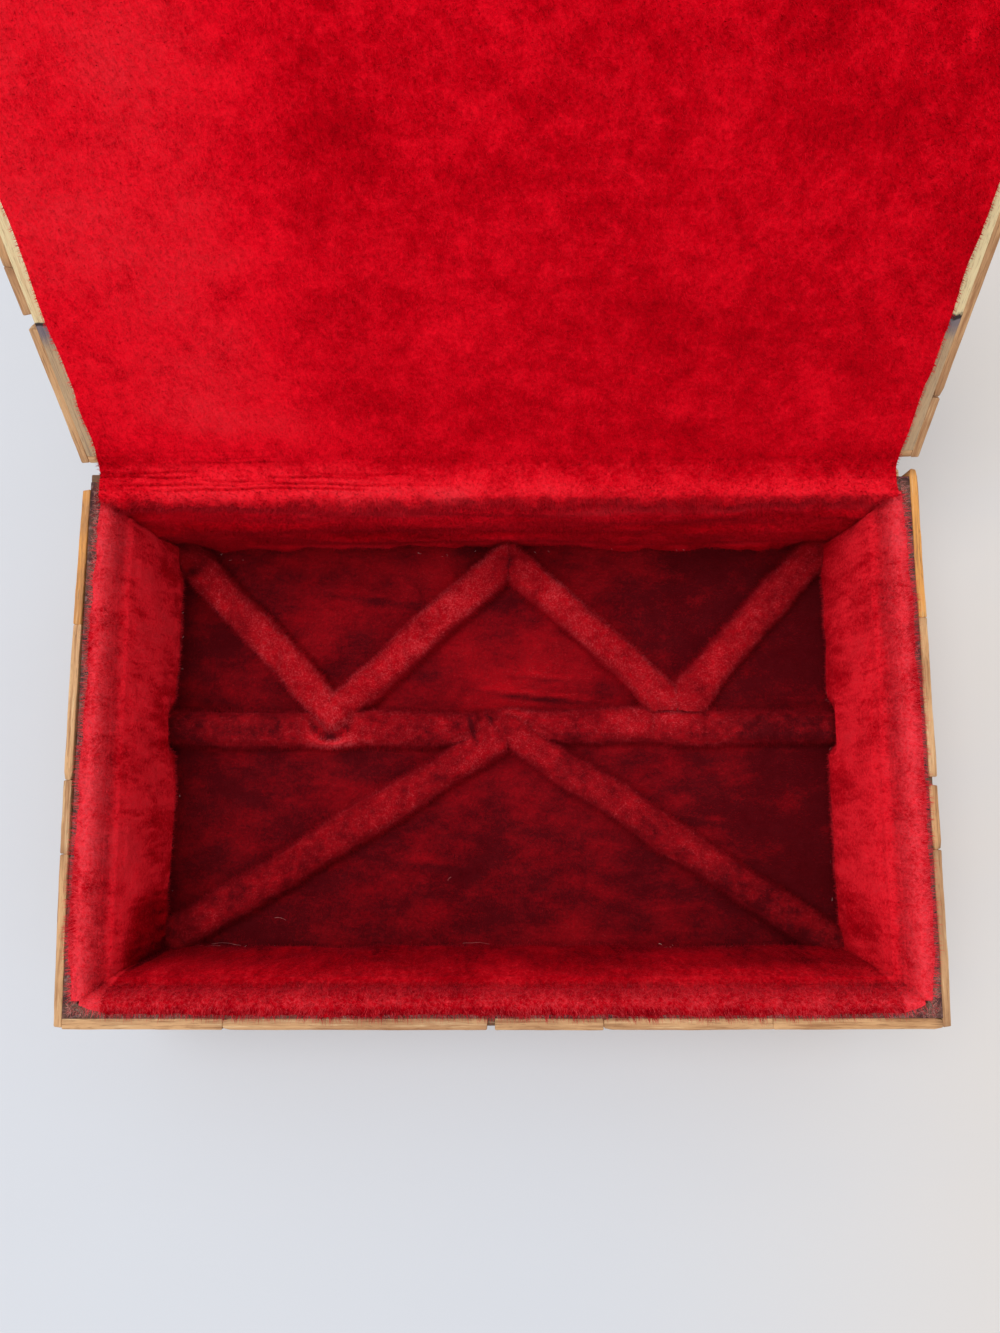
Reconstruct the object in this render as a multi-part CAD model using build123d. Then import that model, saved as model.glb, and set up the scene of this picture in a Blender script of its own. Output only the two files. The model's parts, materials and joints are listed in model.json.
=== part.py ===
from build123d import *
import os
from math import cos, hypot, radians, sin, tan

# An antique jewelry box: a thin wooden casket clad in short slats, lined with plush and
# divided by plush-covered strips, with a plank lid on two butt hinges that leans open.
# Millimetres, Z up. The origin is the middle of the underside of the base. X runs to the
# right as seen from the front, and Y runs to the back, where the hinges are.
# The lid is drawn closed and is swung open at the end.

# Overall sizes of the box, over the cladding
body_width = 250.0
body_depth = 160.0
body_height = 62.0

# Carcass
wall_thickness = 4.0
base_thickness = 6.0

# Wire nails that hold the carcass together
nail_radius = 0.7
nail_head_radius = 1.3
nail_head_thickness = 0.6
wall_nail_length = 14.0
base_nail_length = 15.0
base_nail_recess = 0.8
wall_nail_spacing = 18.0
base_nail_spacing = 55.0

# Cladding slats, laid in courses like bricks
slat_thickness = 2.4
slat_end_radius = 0.9
slat_joint = 0.2
slat_courses = 5
cladding_lift = 0.5
slat_length_cycle = (46.0, 46.0, 21.0, 46.0, 30.0)

# Top course, which shows in the open box: slats counted counter-clockwise from above
front_slat_lengths = (45.1, 73.9, 30.2, 47.0)
front_chip_after = 2
front_chip_width = 2.2
right_slat_lengths = (48.2, 18.2, 46.2)
right_chip_after = 2
right_chip_width = 2.4
left_slat_lengths = (41.1, 45.6, 21.0)
left_corner_chip = 4.7
back_slat_lengths = (46.0, 46.0, 62.0, 46.0)
back_corner_chip = 3.0

# Linings: plush on card
card_thickness = 1.0
floor_plush_thickness = 2.0
pad_edge_thickness = 2.0
pad_crown = 2.0
pad_edge_radius = 1.2
pad_corner_gap = 0.4
lining_drop = 2.5
dent_clearance = 0.3

# Dividers on the floor: plush covers on wooden cores
divider_width = 11.5
divider_height = 9.0
divider_rounding = 4.2
core_width = 6.0
core_height = 5.5
core_rounding = 1.0
cross_divider_y = 6.3
corner_aim_x = 8.7
corner_aim_y = 6.1
valley_left_inset = 60.9
valley_left_rise = 4.7
valley_left_dent = 2.3
valley_right_inset = 58.3
valley_right_rise = 7.1
apex_x = 3.1
apex_inset = 7.9
front_apex_x = 2.2
front_apex_drop = 1.3
front_end_x = 10.0
front_left_end_y = 11.0
front_right_end_y = 9.1
cross_left_stop = 11.2
cross_right_stop = 3.5

# Lid
lid_gap = 0.3
lid_board_thickness = 8.0
lid_open_angle = 127.0
rear_plank_width = 40.5
lid_rows = 13
lid_card_thickness = 0.8
lid_plush_thickness = 1.6
lid_lining_clearance = 0.4
lid_left_slat_lengths = (41.6, 12.4, 46.0)
lid_left_chip_after = 1
lid_left_chip_width = 3.9
lid_right_slat_lengths = (19.0, 92.0)
lid_right_chip_after = 1
lid_right_chip_width = 0.8

# Hinges: brass butt hinges let into the rim and into the lid
hinge_end_inset = 50.0
hinge_length = 28.0
leaf_thickness = 0.8
leaf_edge_inset = 0.4
knuckle_radius = 1.6
knuckle_gap = 0.2
pin_radius = 0.8
pin_clearance = 0.05
recess_clearance = 0.1
screw_spacing = 18.0
screw_radius = 0.7
screw_head_radius = 1.3
screw_length = 5.0

# Plush flap that runs over the rim and the hinges on to the lid
flap_thickness = 1.2
flap_clearance = 0.3
flap_side_inset = 2.0
flap_rim_radius = 1.2

# Worked out from the sizes above
half_width = body_width / 2
half_depth = body_depth / 2
wall_inset = slat_thickness + wall_thickness
inner_half_width = half_width - wall_inset
inner_half_depth = half_depth - wall_inset
floor_level = base_thickness + card_thickness + floor_plush_thickness
lining_top = body_height - lining_drop
tray_inset = wall_inset + card_thickness + pad_edge_thickness
tray_half_width = half_width - tray_inset
tray_half_depth = half_depth - tray_inset
hinge_offset = half_width - hinge_end_inset
hinge_y = half_depth + knuckle_radius + knuckle_gap
hinge_z = body_height + lid_gap / 2
lid_underside = body_height + lid_gap
lid_top = lid_underside + lid_board_thickness
far = 2 * (body_width + body_depth)

SIDES = ("front", "right", "back", "left")
nodes = {}


def block(low, high):
    """Box between two opposite corners."""
    size = [b - a for a, b in zip(low, high)]
    return Pos(*low) * Box(*size, align=(Align.MIN, Align.MIN, Align.MIN))


def rod(radius, length, direction, start):
    """Cylinder from a start point along a direction."""
    plane = Plane(origin=start, z_dir=direction)
    return plane * Cylinder(radius, length, align=(Align.CENTER, Align.CENTER, Align.MIN))


def side_place(side, inset, end_inset):
    """Local axes of one side: x along it, counter-clockwise from above, and y inwards."""
    left = end_inset - half_width
    front = end_inset - half_depth
    starts = {
        "front": ((left, inset - half_depth, 0), (1, 0, 0)),
        "right": ((half_width - inset, front, 0), (0, 1, 0)),
        "back": ((-left, half_depth - inset, 0), (-1, 0, 0)),
        "left": ((inset - half_width, -front, 0), (0, -1, 0)),
    }
    origin, along = starts[side]
    return Plane(origin=origin, x_dir=along, z_dir=(0, 0, 1)).location


def side_length(side, end_inset):
    """Length of one side between its two end insets."""
    full = body_width if side in ("front", "back") else body_depth
    return full - 2 * end_inset


def wall_end_inset(side):
    """The front and back walls run through, and the side walls stand between them."""
    return slat_thickness if side in ("front", "back") else wall_inset


# Carcass


def make_wall(side):
    end_inset = wall_end_inset(side)
    length = side_length(side, end_inset)
    wall = block((0, 0, base_thickness), (length, wall_thickness, body_height))
    return side_place(side, slat_thickness, end_inset) * wall


def make_base():
    x = half_width - slat_thickness
    y = half_depth - slat_thickness
    return block((-x, -y, 0), (x, y, base_thickness))


def nail(length, direction, start):
    """Wire nail, its head flush with the surface at the start point."""
    head = rod(nail_head_radius, nail_head_thickness, direction, start)
    return head + rod(nail_radius, length, direction, start)


def spread(length, spacing):
    """Places along a length, evenly spread and at least a spacing apart."""
    count = int(length / spacing)
    return [length * (number + 0.5) / count for number in range(count)]


def make_wall_nails():
    """Nails through the front and back walls into the ends of the side walls."""
    nails = []
    for side in ("front", "back"):
        place = side_place(side, slat_thickness, slat_thickness)
        length = side_length(side, slat_thickness)
        for x in (wall_thickness / 2, length - wall_thickness / 2):
            for height in spread(body_height - base_thickness, wall_nail_spacing):
                start = (x, 0, base_thickness + height)
                nails.append(place * nail(wall_nail_length, (0, 1, 0), start))
    return nails


def make_base_nails():
    """Nails from below through the base into the lower edges of the walls."""
    nails = []
    for side in SIDES:
        end_inset = wall_end_inset(side)
        place = side_place(side, slat_thickness, end_inset)
        for x in spread(side_length(side, end_inset), base_nail_spacing):
            start = (x, wall_thickness / 2, base_nail_recess)
            nails.append(place * nail(base_nail_length, (0, 0, 1), start))
    return nails


def base_nail_pockets():
    """Short holes below the heads of the base nails, which are punched in."""
    pockets = []
    for base_nail in make_base_nails():
        centre = base_nail.bounding_box().center()
        pockets.append(rod(nail_head_radius, base_nail_recess, (0, 0, 1), (centre.X, centre.Y, 0)))
    return pockets


# Cladding


def row_spans(length, slat_lengths, chip_after=0, chip_width=0.0):
    """Start and end of each slat in a row, the last one filling what is left."""
    spans = []
    start = 0.0
    for number, slat_length in enumerate(slat_lengths, 1):
        if start + slat_length > length:
            break
        spans.append((start, start + slat_length))
        start += slat_length
        if number == chip_after:
            start += chip_width
    if length - start > 2 * slat_thickness:
        spans.append((start, length))
    return spans


def course_lengths(length, first):
    """Slat lengths for a plain course, which takes up the cycle at a different slat each time."""
    lengths = []
    while sum(lengths) < length:
        lengths.append(slat_length_cycle[(first + len(lengths)) % len(slat_length_cycle)])
    return lengths


def slat_row(spans, level, height):
    """Slats standing on edge along x, with round ends, against the face at y = slat_thickness."""
    slats = []
    for start, end in spans:
        outline = RectangleRounded(end - start - slat_joint, slat_thickness, slat_end_radius)
        place = Pos((start + end) / 2, slat_thickness / 2, level)
        slats.append(place * extrude(outline, height - slat_joint))
    return slats


def top_course_spans(side, length):
    """Slats of the top course, as their joints and chips show from above."""
    if side == "front":
        return row_spans(length, front_slat_lengths, front_chip_after, front_chip_width)
    if side == "right":
        return row_spans(length, right_slat_lengths, right_chip_after, right_chip_width)
    if side == "back":
        spans = row_spans(length - back_corner_chip, back_slat_lengths)
        return [(start + back_corner_chip, end + back_corner_chip) for start, end in spans]
    spans = row_spans(length - left_corner_chip, left_slat_lengths)
    return [(start + left_corner_chip, end + left_corner_chip) for start, end in spans]


def cladding_end_inset(side):
    """The side rows overlap the ends of the front and back rows."""
    return slat_thickness if side in ("front", "back") else 0.0


def make_cladding(side):
    """The top course of one side, and the courses below it."""
    end_inset = cladding_end_inset(side)
    place = side_place(side, 0, end_inset)
    length = side_length(side, end_inset)
    course_height = (body_height - cladding_lift) / slat_courses
    lower = []
    for course in range(slat_courses - 1):
        spans = row_spans(length, course_lengths(length, 2 * course + SIDES.index(side)))
        lower += slat_row(spans, cladding_lift + course * course_height, course_height)
    top_level = body_height - course_height + slat_joint
    top = slat_row(top_course_spans(side, length), top_level, course_height)
    return [place * slat for slat in top], [place * slat for slat in lower]


# Linings


def make_floor_lining():
    """Card and plush over the whole floor, inside the walls."""
    x = inner_half_width
    y = inner_half_depth
    card_top = base_thickness + card_thickness
    card = block((-x, -y, base_thickness), (x, y, card_top))
    plush = block((-x, -y, card_top), (x, y, floor_level))
    return card, plush


def make_wall_card(side):
    end_inset = wall_inset if side in ("front", "back") else wall_inset + card_thickness
    length = side_length(side, end_inset)
    card = block((0, 0, floor_level), (length, card_thickness, lining_top))
    return side_place(side, wall_inset, end_inset) * card


def make_pad(side):
    """Padded plush on one wall: thin along its edges, crowned in the middle both ways."""
    end_inset = tray_inset + pad_corner_gap
    if side in ("front", "back"):
        end_inset = wall_inset + card_thickness
    length = side_length(side, end_inset)
    height = lining_top - floor_level
    deep = pad_edge_thickness + pad_crown
    edge = pad_edge_thickness
    along = Polyline((0, edge), (0, 0), (length, 0), (length, edge))
    along += ThreePointArc((length, edge), (length / 2, deep), (0, edge))
    upright = Polyline((edge, 0), (0, 0), (0, height), (edge, height))
    upright += ThreePointArc((edge, height), (deep, height / 2), (edge, 0))
    plan = extrude(make_face(along), height)
    section_plane = Plane(origin=(0, 0, 0), x_dir=(0, 1, 0), z_dir=(1, 0, 0))
    section = section_plane * extrude(make_face(upright), length)
    pad = plan & section
    top_edge = pad.edges().filter_by(lambda e: e.center().Y > edge / 2).sort_by(Axis.Z)[-1]
    pad = fillet(top_edge, pad_edge_radius)
    place = side_place(side, wall_inset + card_thickness, end_inset)
    return place * Pos(0, 0, floor_level) * pad


# Dividers


def strip(start, end, width, height, rounding):
    """Straight strip on the floor with a rounded top, running past both of its ends."""
    run = Vector(end[0] - start[0], end[1] - start[1], 0)
    ahead = run.normalized()
    extra = 2 * divider_width
    origin = Vector(start[0], start[1], floor_level) - ahead * extra
    section = Rectangle(width, height, align=(Align.CENTER, Align.MIN))
    section = fillet(section.vertices().group_by(Axis.Y)[-1], rounding)
    plane = Plane(origin=origin, x_dir=(-ahead.Y, ahead.X, 0), z_dir=ahead)
    return plane * extrude(section, run.length + 2 * extra)


def tray(margin):
    """Space above the floor between the thin edges of the wall linings, and a margin all round."""
    x = tray_half_width + margin
    y = tray_half_depth + margin
    return block((-x, -y, floor_level - margin), (x, y, body_height))


def dent(start, end):
    """Square channel that a divider presses into the crown of the wall linings past its end."""
    run = Vector(end[0] - start[0], end[1] - start[1], 0)
    width = divider_width + 2 * dent_clearance
    height = divider_height + 2 * dent_clearance
    channel = Box(run.length + 2 * width, width, height, align=(Align.MIN, Align.CENTER, Align.MIN))
    origin = (start[0], start[1], floor_level - dent_clearance)
    plane = Plane(origin=origin, x_dir=run.normalized(), z_dir=(0, 0, 1))
    return (plane * channel) & tray(dent_clearance)


def half_space(point, normal):
    """Everything on the side of an upright plane that its normal points to."""
    plane = Plane(origin=(point[0], point[1], 0), z_dir=(normal[0], normal[1], 0))
    return plane * Box(far, far, far, align=(Align.CENTER, Align.CENTER, Align.MIN))


def direction(start, end):
    run = hypot(end[0] - start[0], end[1] - start[1])
    return ((end[0] - start[0]) / run, (end[1] - start[1]) / run)


def mitres(points):
    """Mitre plane at each inner point of a bent run, as a point and a normal that points along it."""
    planes = []
    for before, corner, after in zip(points, points[1:], points[2:]):
        arriving = direction(before, corner)
        leaving = direction(corner, after)
        planes.append((corner, (arriving[0] + leaving[0], arriving[1] + leaving[1])))
    return planes


def make_divider(start, end, keeps, cuts=()):
    """Plush cover and wooden core of one divider, both trimmed alike."""
    outer = strip(start, end, divider_width, divider_height, divider_rounding) & tray(0)
    core = strip(start, end, core_width, core_height, core_rounding) & tray(0)
    for point, normal in keeps:
        outer = outer & half_space(point, normal)
        core = core & half_space(point, normal)
    for cut in cuts:
        outer = outer - cut
        core = core - cut
    return outer, core


def make_bent_run(names, points, more_keeps):
    """Dividers along a bent run, mitred where they meet."""
    planes = mitres(points)
    made = {}
    for number, name in enumerate(names):
        keeps = list(more_keeps.get(name, []))
        if number > 0:
            keeps.append(planes[number - 1])
        if number < len(planes):
            point, normal = planes[number]
            keeps.append((point, (-normal[0], -normal[1])))
        made[name] = make_divider(points[number], points[number + 1], keeps)
    return made


def make_dividers():
    """The zigzag at the back, the arrow at the front and the cross divider in two halves.

    Gives the cover and core of each, and the dents that their ends press into the linings.
    """
    corner_x = inner_half_width - corner_aim_x
    corner_y = inner_half_depth - corner_aim_y
    zigzag = [
        (-corner_x, corner_y),
        (valley_left_inset - inner_half_width, cross_divider_y + valley_left_rise),
        (apex_x, inner_half_depth - apex_inset),
        (inner_half_width - valley_right_inset, cross_divider_y + valley_right_rise),
        (corner_x, corner_y),
    ]
    arrow = [
        (front_end_x - inner_half_width, front_left_end_y - inner_half_depth),
        (front_apex_x, cross_divider_y - front_apex_drop),
        (inner_half_width - front_end_x, front_right_end_y - inner_half_depth),
    ]
    cross_back = cross_divider_y + divider_width / 2
    behind_left = [((0, cross_back - valley_left_dent), (0, 1))]
    behind_right = [((0, cross_back), (0, 1))]
    behind = {
        "zigzag_left_outer": behind_left,
        "zigzag_left_inner": behind_left,
        "zigzag_right_inner": behind_right,
        "zigzag_right_outer": behind_right,
    }
    made = make_bent_run(list(behind), zigzag, behind)
    made.update(make_bent_run(["arrow_left", "arrow_right"], arrow, {}))
    crossing = ("arrow_left", "arrow_right", "zigzag_left_outer", "zigzag_left_inner")
    cuts = [made[name][0] for name in crossing]
    left_end = (-tray_half_width, cross_divider_y)
    right_end = (tray_half_width, cross_divider_y)
    left_stop = (front_apex_x - cross_left_stop, cross_divider_y)
    right_stop = (front_apex_x + cross_right_stop, cross_divider_y)
    made["cross_left"] = make_divider(left_end, left_stop, [(left_stop, (-1, 0))], cuts)
    made["cross_right"] = make_divider(right_stop, right_end, [(right_stop, (1, 0))], cuts)
    below_apex = (apex_x, cross_divider_y)
    dents = [dent(zigzag[1], zigzag[0]), dent(below_apex, zigzag[2]), dent(zigzag[3], zigzag[4])]
    dents += [dent(arrow[1], arrow[0]), dent(arrow[1], arrow[2])]
    dents += [dent(left_stop, left_end), dent(right_stop, right_end)]
    return made, dents


# Lid, drawn closed


def make_planks():
    """Front and rear plank of the lid, edge to edge."""
    x = half_width - slat_thickness
    y = half_depth - slat_thickness
    joint = y - rear_plank_width
    front = block((-x, -y, lid_underside), (x, joint, lid_top))
    rear = block((-x, joint, lid_underside), (x, y, lid_top))
    return front, rear


def lid_edge_spans(side, length):
    """Slats round the edge of the lid, with the gaps that show at its sides."""
    if side == "left":
        return row_spans(length, lid_left_slat_lengths, lid_left_chip_after, lid_left_chip_width)
    if side == "right":
        spans = row_spans(length, lid_right_slat_lengths, lid_right_chip_after, lid_right_chip_width)
        return [(length - end, length - start) for start, end in spans]
    return row_spans(length, course_lengths(length, SIDES.index(side)))


def make_lid_edge(side):
    end_inset = cladding_end_inset(side)
    length = side_length(side, end_inset)
    place = side_place(side, 0, end_inset)
    slats = slat_row(lid_edge_spans(side, length), lid_underside, lid_board_thickness)
    return [place * slat for slat in slats]


def make_lid_top():
    """Rows of flat slats over the whole lid."""
    slats = []
    row_depth = body_depth / lid_rows
    for row in range(lid_rows):
        middle = row_depth * (row + 0.5) - half_depth
        for start, end in row_spans(body_width, course_lengths(body_width, 2 * row)):
            length = end - start - slat_joint
            outline = RectangleRounded(length, row_depth - slat_joint, slat_end_radius)
            place = Pos((start + end) / 2 - half_width, middle, lid_top)
            slats.append(place * extrude(outline, slat_thickness))
    return slats


def make_lid_lining():
    """Card and plush on the underside of the lid, which sink between the walls as it shuts."""
    x = inner_half_width - lid_lining_clearance
    y = inner_half_depth - lid_lining_clearance
    card_bottom = lid_underside - lid_card_thickness
    plush_bottom = card_bottom - lid_plush_thickness
    card = block((-x, -y, card_bottom), (x, y, lid_underside))
    plush = block((-x, -y, plush_bottom), (x, y, card_bottom))
    rim = plush.edges().group_by(Axis.Z)[0]
    return card, fillet(rim, lid_plush_thickness / 2)


# Hinges


def leaf_outer_y():
    return hinge_y - knuckle_radius - knuckle_gap


def leaf_inner_y():
    return inner_half_depth + leaf_edge_inset


def leaf_plate(x, bottom):
    half = hinge_length / 2
    low = (x - half, leaf_inner_y(), bottom)
    return block(low, (x + half, leaf_outer_y(), bottom + leaf_thickness))


def knuckle(x, length, bottom):
    """One knuckle and the tab that joins it to its leaf."""
    start = x - length / 2
    end = x + length / 2
    barrel = rod(knuckle_radius, length, (1, 0, 0), (start, hinge_y, hinge_z))
    tab = block((start, leaf_outer_y(), bottom), (end, hinge_y, bottom + leaf_thickness))
    return barrel + tab


def screw_places(x):
    y = half_depth - slat_thickness - wall_thickness / 2
    return [(x - screw_spacing / 2, y), (x + screw_spacing / 2, y)]


def screw(x, y, level, upwards):
    """Countersunk screw whose head is as deep as the leaf is thick."""
    way = 1 if upwards else -1
    plane = Plane(origin=(x, y, level), z_dir=(0, 0, way))
    upright = (Align.CENTER, Align.CENTER, Align.MIN)
    head = Cone(screw_head_radius, screw_radius, leaf_thickness, align=upright)
    shank = Cylinder(screw_radius, screw_length, align=upright)
    return plane * (head + Pos(0, 0, leaf_thickness) * shank)


def make_hinge(x):
    """Fixed leaf, moving leaf, pin and screws of the hinge at x, with the lid closed."""
    knuckle_length = (hinge_length - 2 * knuckle_gap) / 3
    step = knuckle_length + knuckle_gap
    fixed_bottom = body_height - leaf_thickness
    fixed = leaf_plate(x, fixed_bottom)
    fixed += knuckle(x - step, knuckle_length, fixed_bottom)
    fixed += knuckle(x + step, knuckle_length, fixed_bottom)
    moving = leaf_plate(x, lid_underside) + knuckle(x, knuckle_length, lid_underside)
    start = (x - hinge_length / 2, hinge_y, hinge_z)
    pin = rod(pin_radius, hinge_length, (1, 0, 0), start)
    fixed = fixed - pin
    moving = moving - rod(pin_radius + pin_clearance, hinge_length, (1, 0, 0), start)
    body_screws = [screw(sx, sy, body_height, False) for sx, sy in screw_places(x)]
    lid_screws = [screw(sx, sy, lid_underside, True) for sx, sy in screw_places(x)]
    for body_screw, lid_screw in zip(body_screws, lid_screws):
        fixed = fixed - body_screw
        moving = moving - lid_screw
    return fixed, moving, pin, body_screws, lid_screws


def hinge_recess(x, bottom):
    """Space let into the wood and the slats for one leaf."""
    half = hinge_length / 2 + recess_clearance
    low = (x - half, leaf_inner_y() - recess_clearance, bottom)
    return block(low, (x + half, half_depth + recess_clearance, bottom + leaf_thickness))


# Flap


def make_flap():
    """Sheet of plush from the back lining over the rim and up to the lining of the open lid."""
    turn = 180 - lid_open_angle
    off = flap_clearance + flap_thickness / 2
    start_y = inner_half_depth - off
    rim_level = body_height + off
    lid_off = off - lid_gap / 2
    lean = radians(turn)
    corner_y = hinge_y - lid_off * sin(lean)
    corner_z = hinge_z + lid_off * cos(lean)
    meeting_y = corner_y + (rim_level - corner_z) / tan(lean)
    bend_start = start_y + flap_rim_radius
    bend_radius = (meeting_y - bend_start) / tan(lean / 2)
    upright = Line((start_y, lining_top), (start_y, rim_level - flap_rim_radius))
    rim_bend = JernArc(upright @ 1, (0, 1), flap_rim_radius, -90)
    lid_bend = JernArc(rim_bend @ 1, (1, 0), bend_radius, turn)
    lining_edge = hinge_y - inner_half_depth + lid_lining_clearance - flap_clearance
    end = (corner_y + lining_edge * cos(lean), corner_z + lining_edge * sin(lean))
    path = upright + rim_bend + lid_bend + Line(lid_bend @ 1, end)
    section = trace(path, flap_thickness)
    half = inner_half_width - flap_side_inset
    plane = Plane(origin=(-half, 0, 0), x_dir=(0, 1, 0), z_dir=(1, 0, 0))
    return plane * extrude(section, 2 * half)


def swing_open(shape):
    """Turns a piece of the closed lid about the hinge axis to the open rest pose."""
    there = Pos(0, hinge_y, hinge_z)
    return there * Rot(-lid_open_angle, 0, 0) * there.inverse() * shape


# Assembly


def add(name, solids):
    """Keeps one node, made of one solid or of a group of separate ones."""
    pieces = solids if isinstance(solids, list) else [solids]
    found = [solid for piece in pieces for solid in piece.solids()]
    nodes[name] = found[0] if len(found) == 1 else Compound(children=found)


def cut_all(solids, tools):
    """Cuts every tool out of every solid of a list."""
    result = []
    for solid in solids:
        for tool in tools:
            solid = solid - tool
        result.append(solid)
    return result


def build_case():
    """Carcass, cladding, linings and dividers."""
    wall_nails = make_wall_nails()
    base_nails = make_base_nails()
    hinge_xs = (-hinge_offset, hinge_offset)
    hinges = [make_hinge(x) for x in hinge_xs]
    body_screws = hinges[0][3] + hinges[1][3]
    rim_recesses = [hinge_recess(x, body_height - leaf_thickness) for x in hinge_xs]
    add("base_board", cut_all([make_base()], base_nails + base_nail_pockets()))
    for side in SIDES:
        tools = wall_nails + base_nails
        if side == "back":
            tools = tools + rim_recesses + body_screws
        add(side + "_wall", cut_all([make_wall(side)], tools))
    add("wall_nails", wall_nails)
    add("base_nails", base_nails)
    for side in SIDES:
        top, lower = make_cladding(side)
        if side == "back":
            top = cut_all(top, rim_recesses)
        add(side + "_top_slats", top)
        add(side + "_lower_slats", lower)
    card, plush = make_floor_lining()
    add("floor_card", card)
    add("floor_lining", plush)
    dividers, dents = make_dividers()
    for side in SIDES:
        add(side + "_lining_card", make_wall_card(side))
        add(side + "_lining", cut_all([make_pad(side)], dents))
    for name, (outer, core) in dividers.items():
        add(name + "_cover", outer - core)
        add(name + "_core", core)
    add("body_hinge_screws", body_screws)
    for name, hinge in zip(("left", "right"), hinges):
        add(name + "_hinge_fixed_leaf", hinge[0])
        add(name + "_hinge_pin", hinge[2])
    add("hinge_flap", make_flap())


def build_lid():
    """Planks, slats, lining and moving leaves, swung open together."""
    hinge_xs = (-hinge_offset, hinge_offset)
    hinges = [make_hinge(x) for x in hinge_xs]
    lid_screws = hinges[0][4] + hinges[1][4]
    recesses = [hinge_recess(x, lid_underside) for x in hinge_xs]
    front, rear = make_planks()
    card, plush = make_lid_lining()
    closed = {
        "lid_front_plank": [front],
        "lid_rear_plank": cut_all([rear], recesses + lid_screws),
        "lid_top_slats": make_lid_top(),
        "lid_card": [card],
        "lid_lining": [plush],
        "lid_hinge_screws": lid_screws,
        "left_hinge_moving_leaf": [hinges[0][1]],
        "right_hinge_moving_leaf": [hinges[1][1]],
    }
    for side in SIDES:
        slats = make_lid_edge(side)
        closed["lid_" + side + "_edge_slats"] = cut_all(slats, recesses) if side == "back" else slats
    for name, solids in closed.items():
        add(name, [swing_open(solid) for solid in solids])


build_case()
build_lid()
os.makedirs("parts", exist_ok=True)
for name, shape in nodes.items():
    export_step(shape, f"parts/{name}.step")
print(len(nodes), "nodes")
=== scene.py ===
"""Looks of the antique jewelry box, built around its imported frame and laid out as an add-on.

Metres, Z up, X to the right as seen from the front, Y to the back. The lid leans open at rest.
"""

import json
import math

import bpy
import numpy as np
from bpy.props import FloatProperty, FloatVectorProperty, PointerProperty
from mathutils import Matrix, Vector


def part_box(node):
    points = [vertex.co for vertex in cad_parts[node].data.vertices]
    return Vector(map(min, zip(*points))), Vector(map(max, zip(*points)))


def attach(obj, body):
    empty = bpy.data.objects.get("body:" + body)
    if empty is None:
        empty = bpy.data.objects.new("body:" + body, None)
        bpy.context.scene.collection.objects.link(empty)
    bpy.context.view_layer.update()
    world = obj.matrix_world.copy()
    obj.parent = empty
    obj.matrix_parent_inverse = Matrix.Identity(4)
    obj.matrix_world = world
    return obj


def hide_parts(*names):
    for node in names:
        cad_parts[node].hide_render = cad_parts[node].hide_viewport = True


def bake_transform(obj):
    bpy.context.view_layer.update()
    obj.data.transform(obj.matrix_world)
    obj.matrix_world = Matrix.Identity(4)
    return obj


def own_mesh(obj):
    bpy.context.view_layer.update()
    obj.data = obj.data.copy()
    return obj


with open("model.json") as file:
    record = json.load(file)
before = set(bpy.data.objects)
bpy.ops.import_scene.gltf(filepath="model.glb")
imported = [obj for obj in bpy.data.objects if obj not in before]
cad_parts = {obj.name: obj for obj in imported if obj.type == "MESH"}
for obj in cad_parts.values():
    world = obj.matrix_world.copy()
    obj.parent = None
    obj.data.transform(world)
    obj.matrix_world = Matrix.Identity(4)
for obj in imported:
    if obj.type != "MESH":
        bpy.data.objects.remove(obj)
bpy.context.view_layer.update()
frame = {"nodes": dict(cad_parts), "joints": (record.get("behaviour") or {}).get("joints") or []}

bl_info = {
    "name": "Antique jewelry box",
    "version": (1, 0, 0),
    "blender": (4, 5, 0),
    "location": "View3D > Sidebar > Box",
    "description": "Dresses the packed frame of a plush-lined jewelry box",
    "category": "Object",
}

MM = 0.001

# The box's measures in millimetres, read from the frame
LID_HINGE = frame["joints"][0]
LID_TURN = math.radians(LID_HINGE["range_deg"][1])
HINGE_AXIS = Vector(LID_HINGE["pos_m"]) / MM
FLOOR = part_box("floor_lining")[1].z / MM
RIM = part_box("front_wall")[1].z / MM
INNER_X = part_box("floor_lining")[1].x / MM
INNER_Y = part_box("floor_lining")[1].y / MM
LINING_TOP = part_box("front_lining")[1].z / MM
OUTER_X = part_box("left_top_slats")[0].x / -MM
OUTER_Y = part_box("front_top_slats")[0].y / -MM
PAD_EDGE = 3.0
TRAY_X = INNER_X - PAD_EDGE
TRAY_Y = INNER_Y - PAD_EDGE


def paint(red, green, blue):
    """Scene-linear colour of a paint given as display values from 0 to 255."""
    made = []
    for value in (red, green, blue):
        share = value / 255
        made.append(share / 12.92 if share <= 0.04045 else ((share + 0.055) / 1.055) ** 2.4)
    return tuple(made)


# Settings that a user would change


def colour_setting(name, description, default):
    return FloatVectorProperty(
        name=name, description=description, subtype="COLOR", size=3, min=0, max=1, default=default
    )


def number_setting(name, description, default, **more):
    return FloatProperty(name=name, description=description, default=default, **more)


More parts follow.
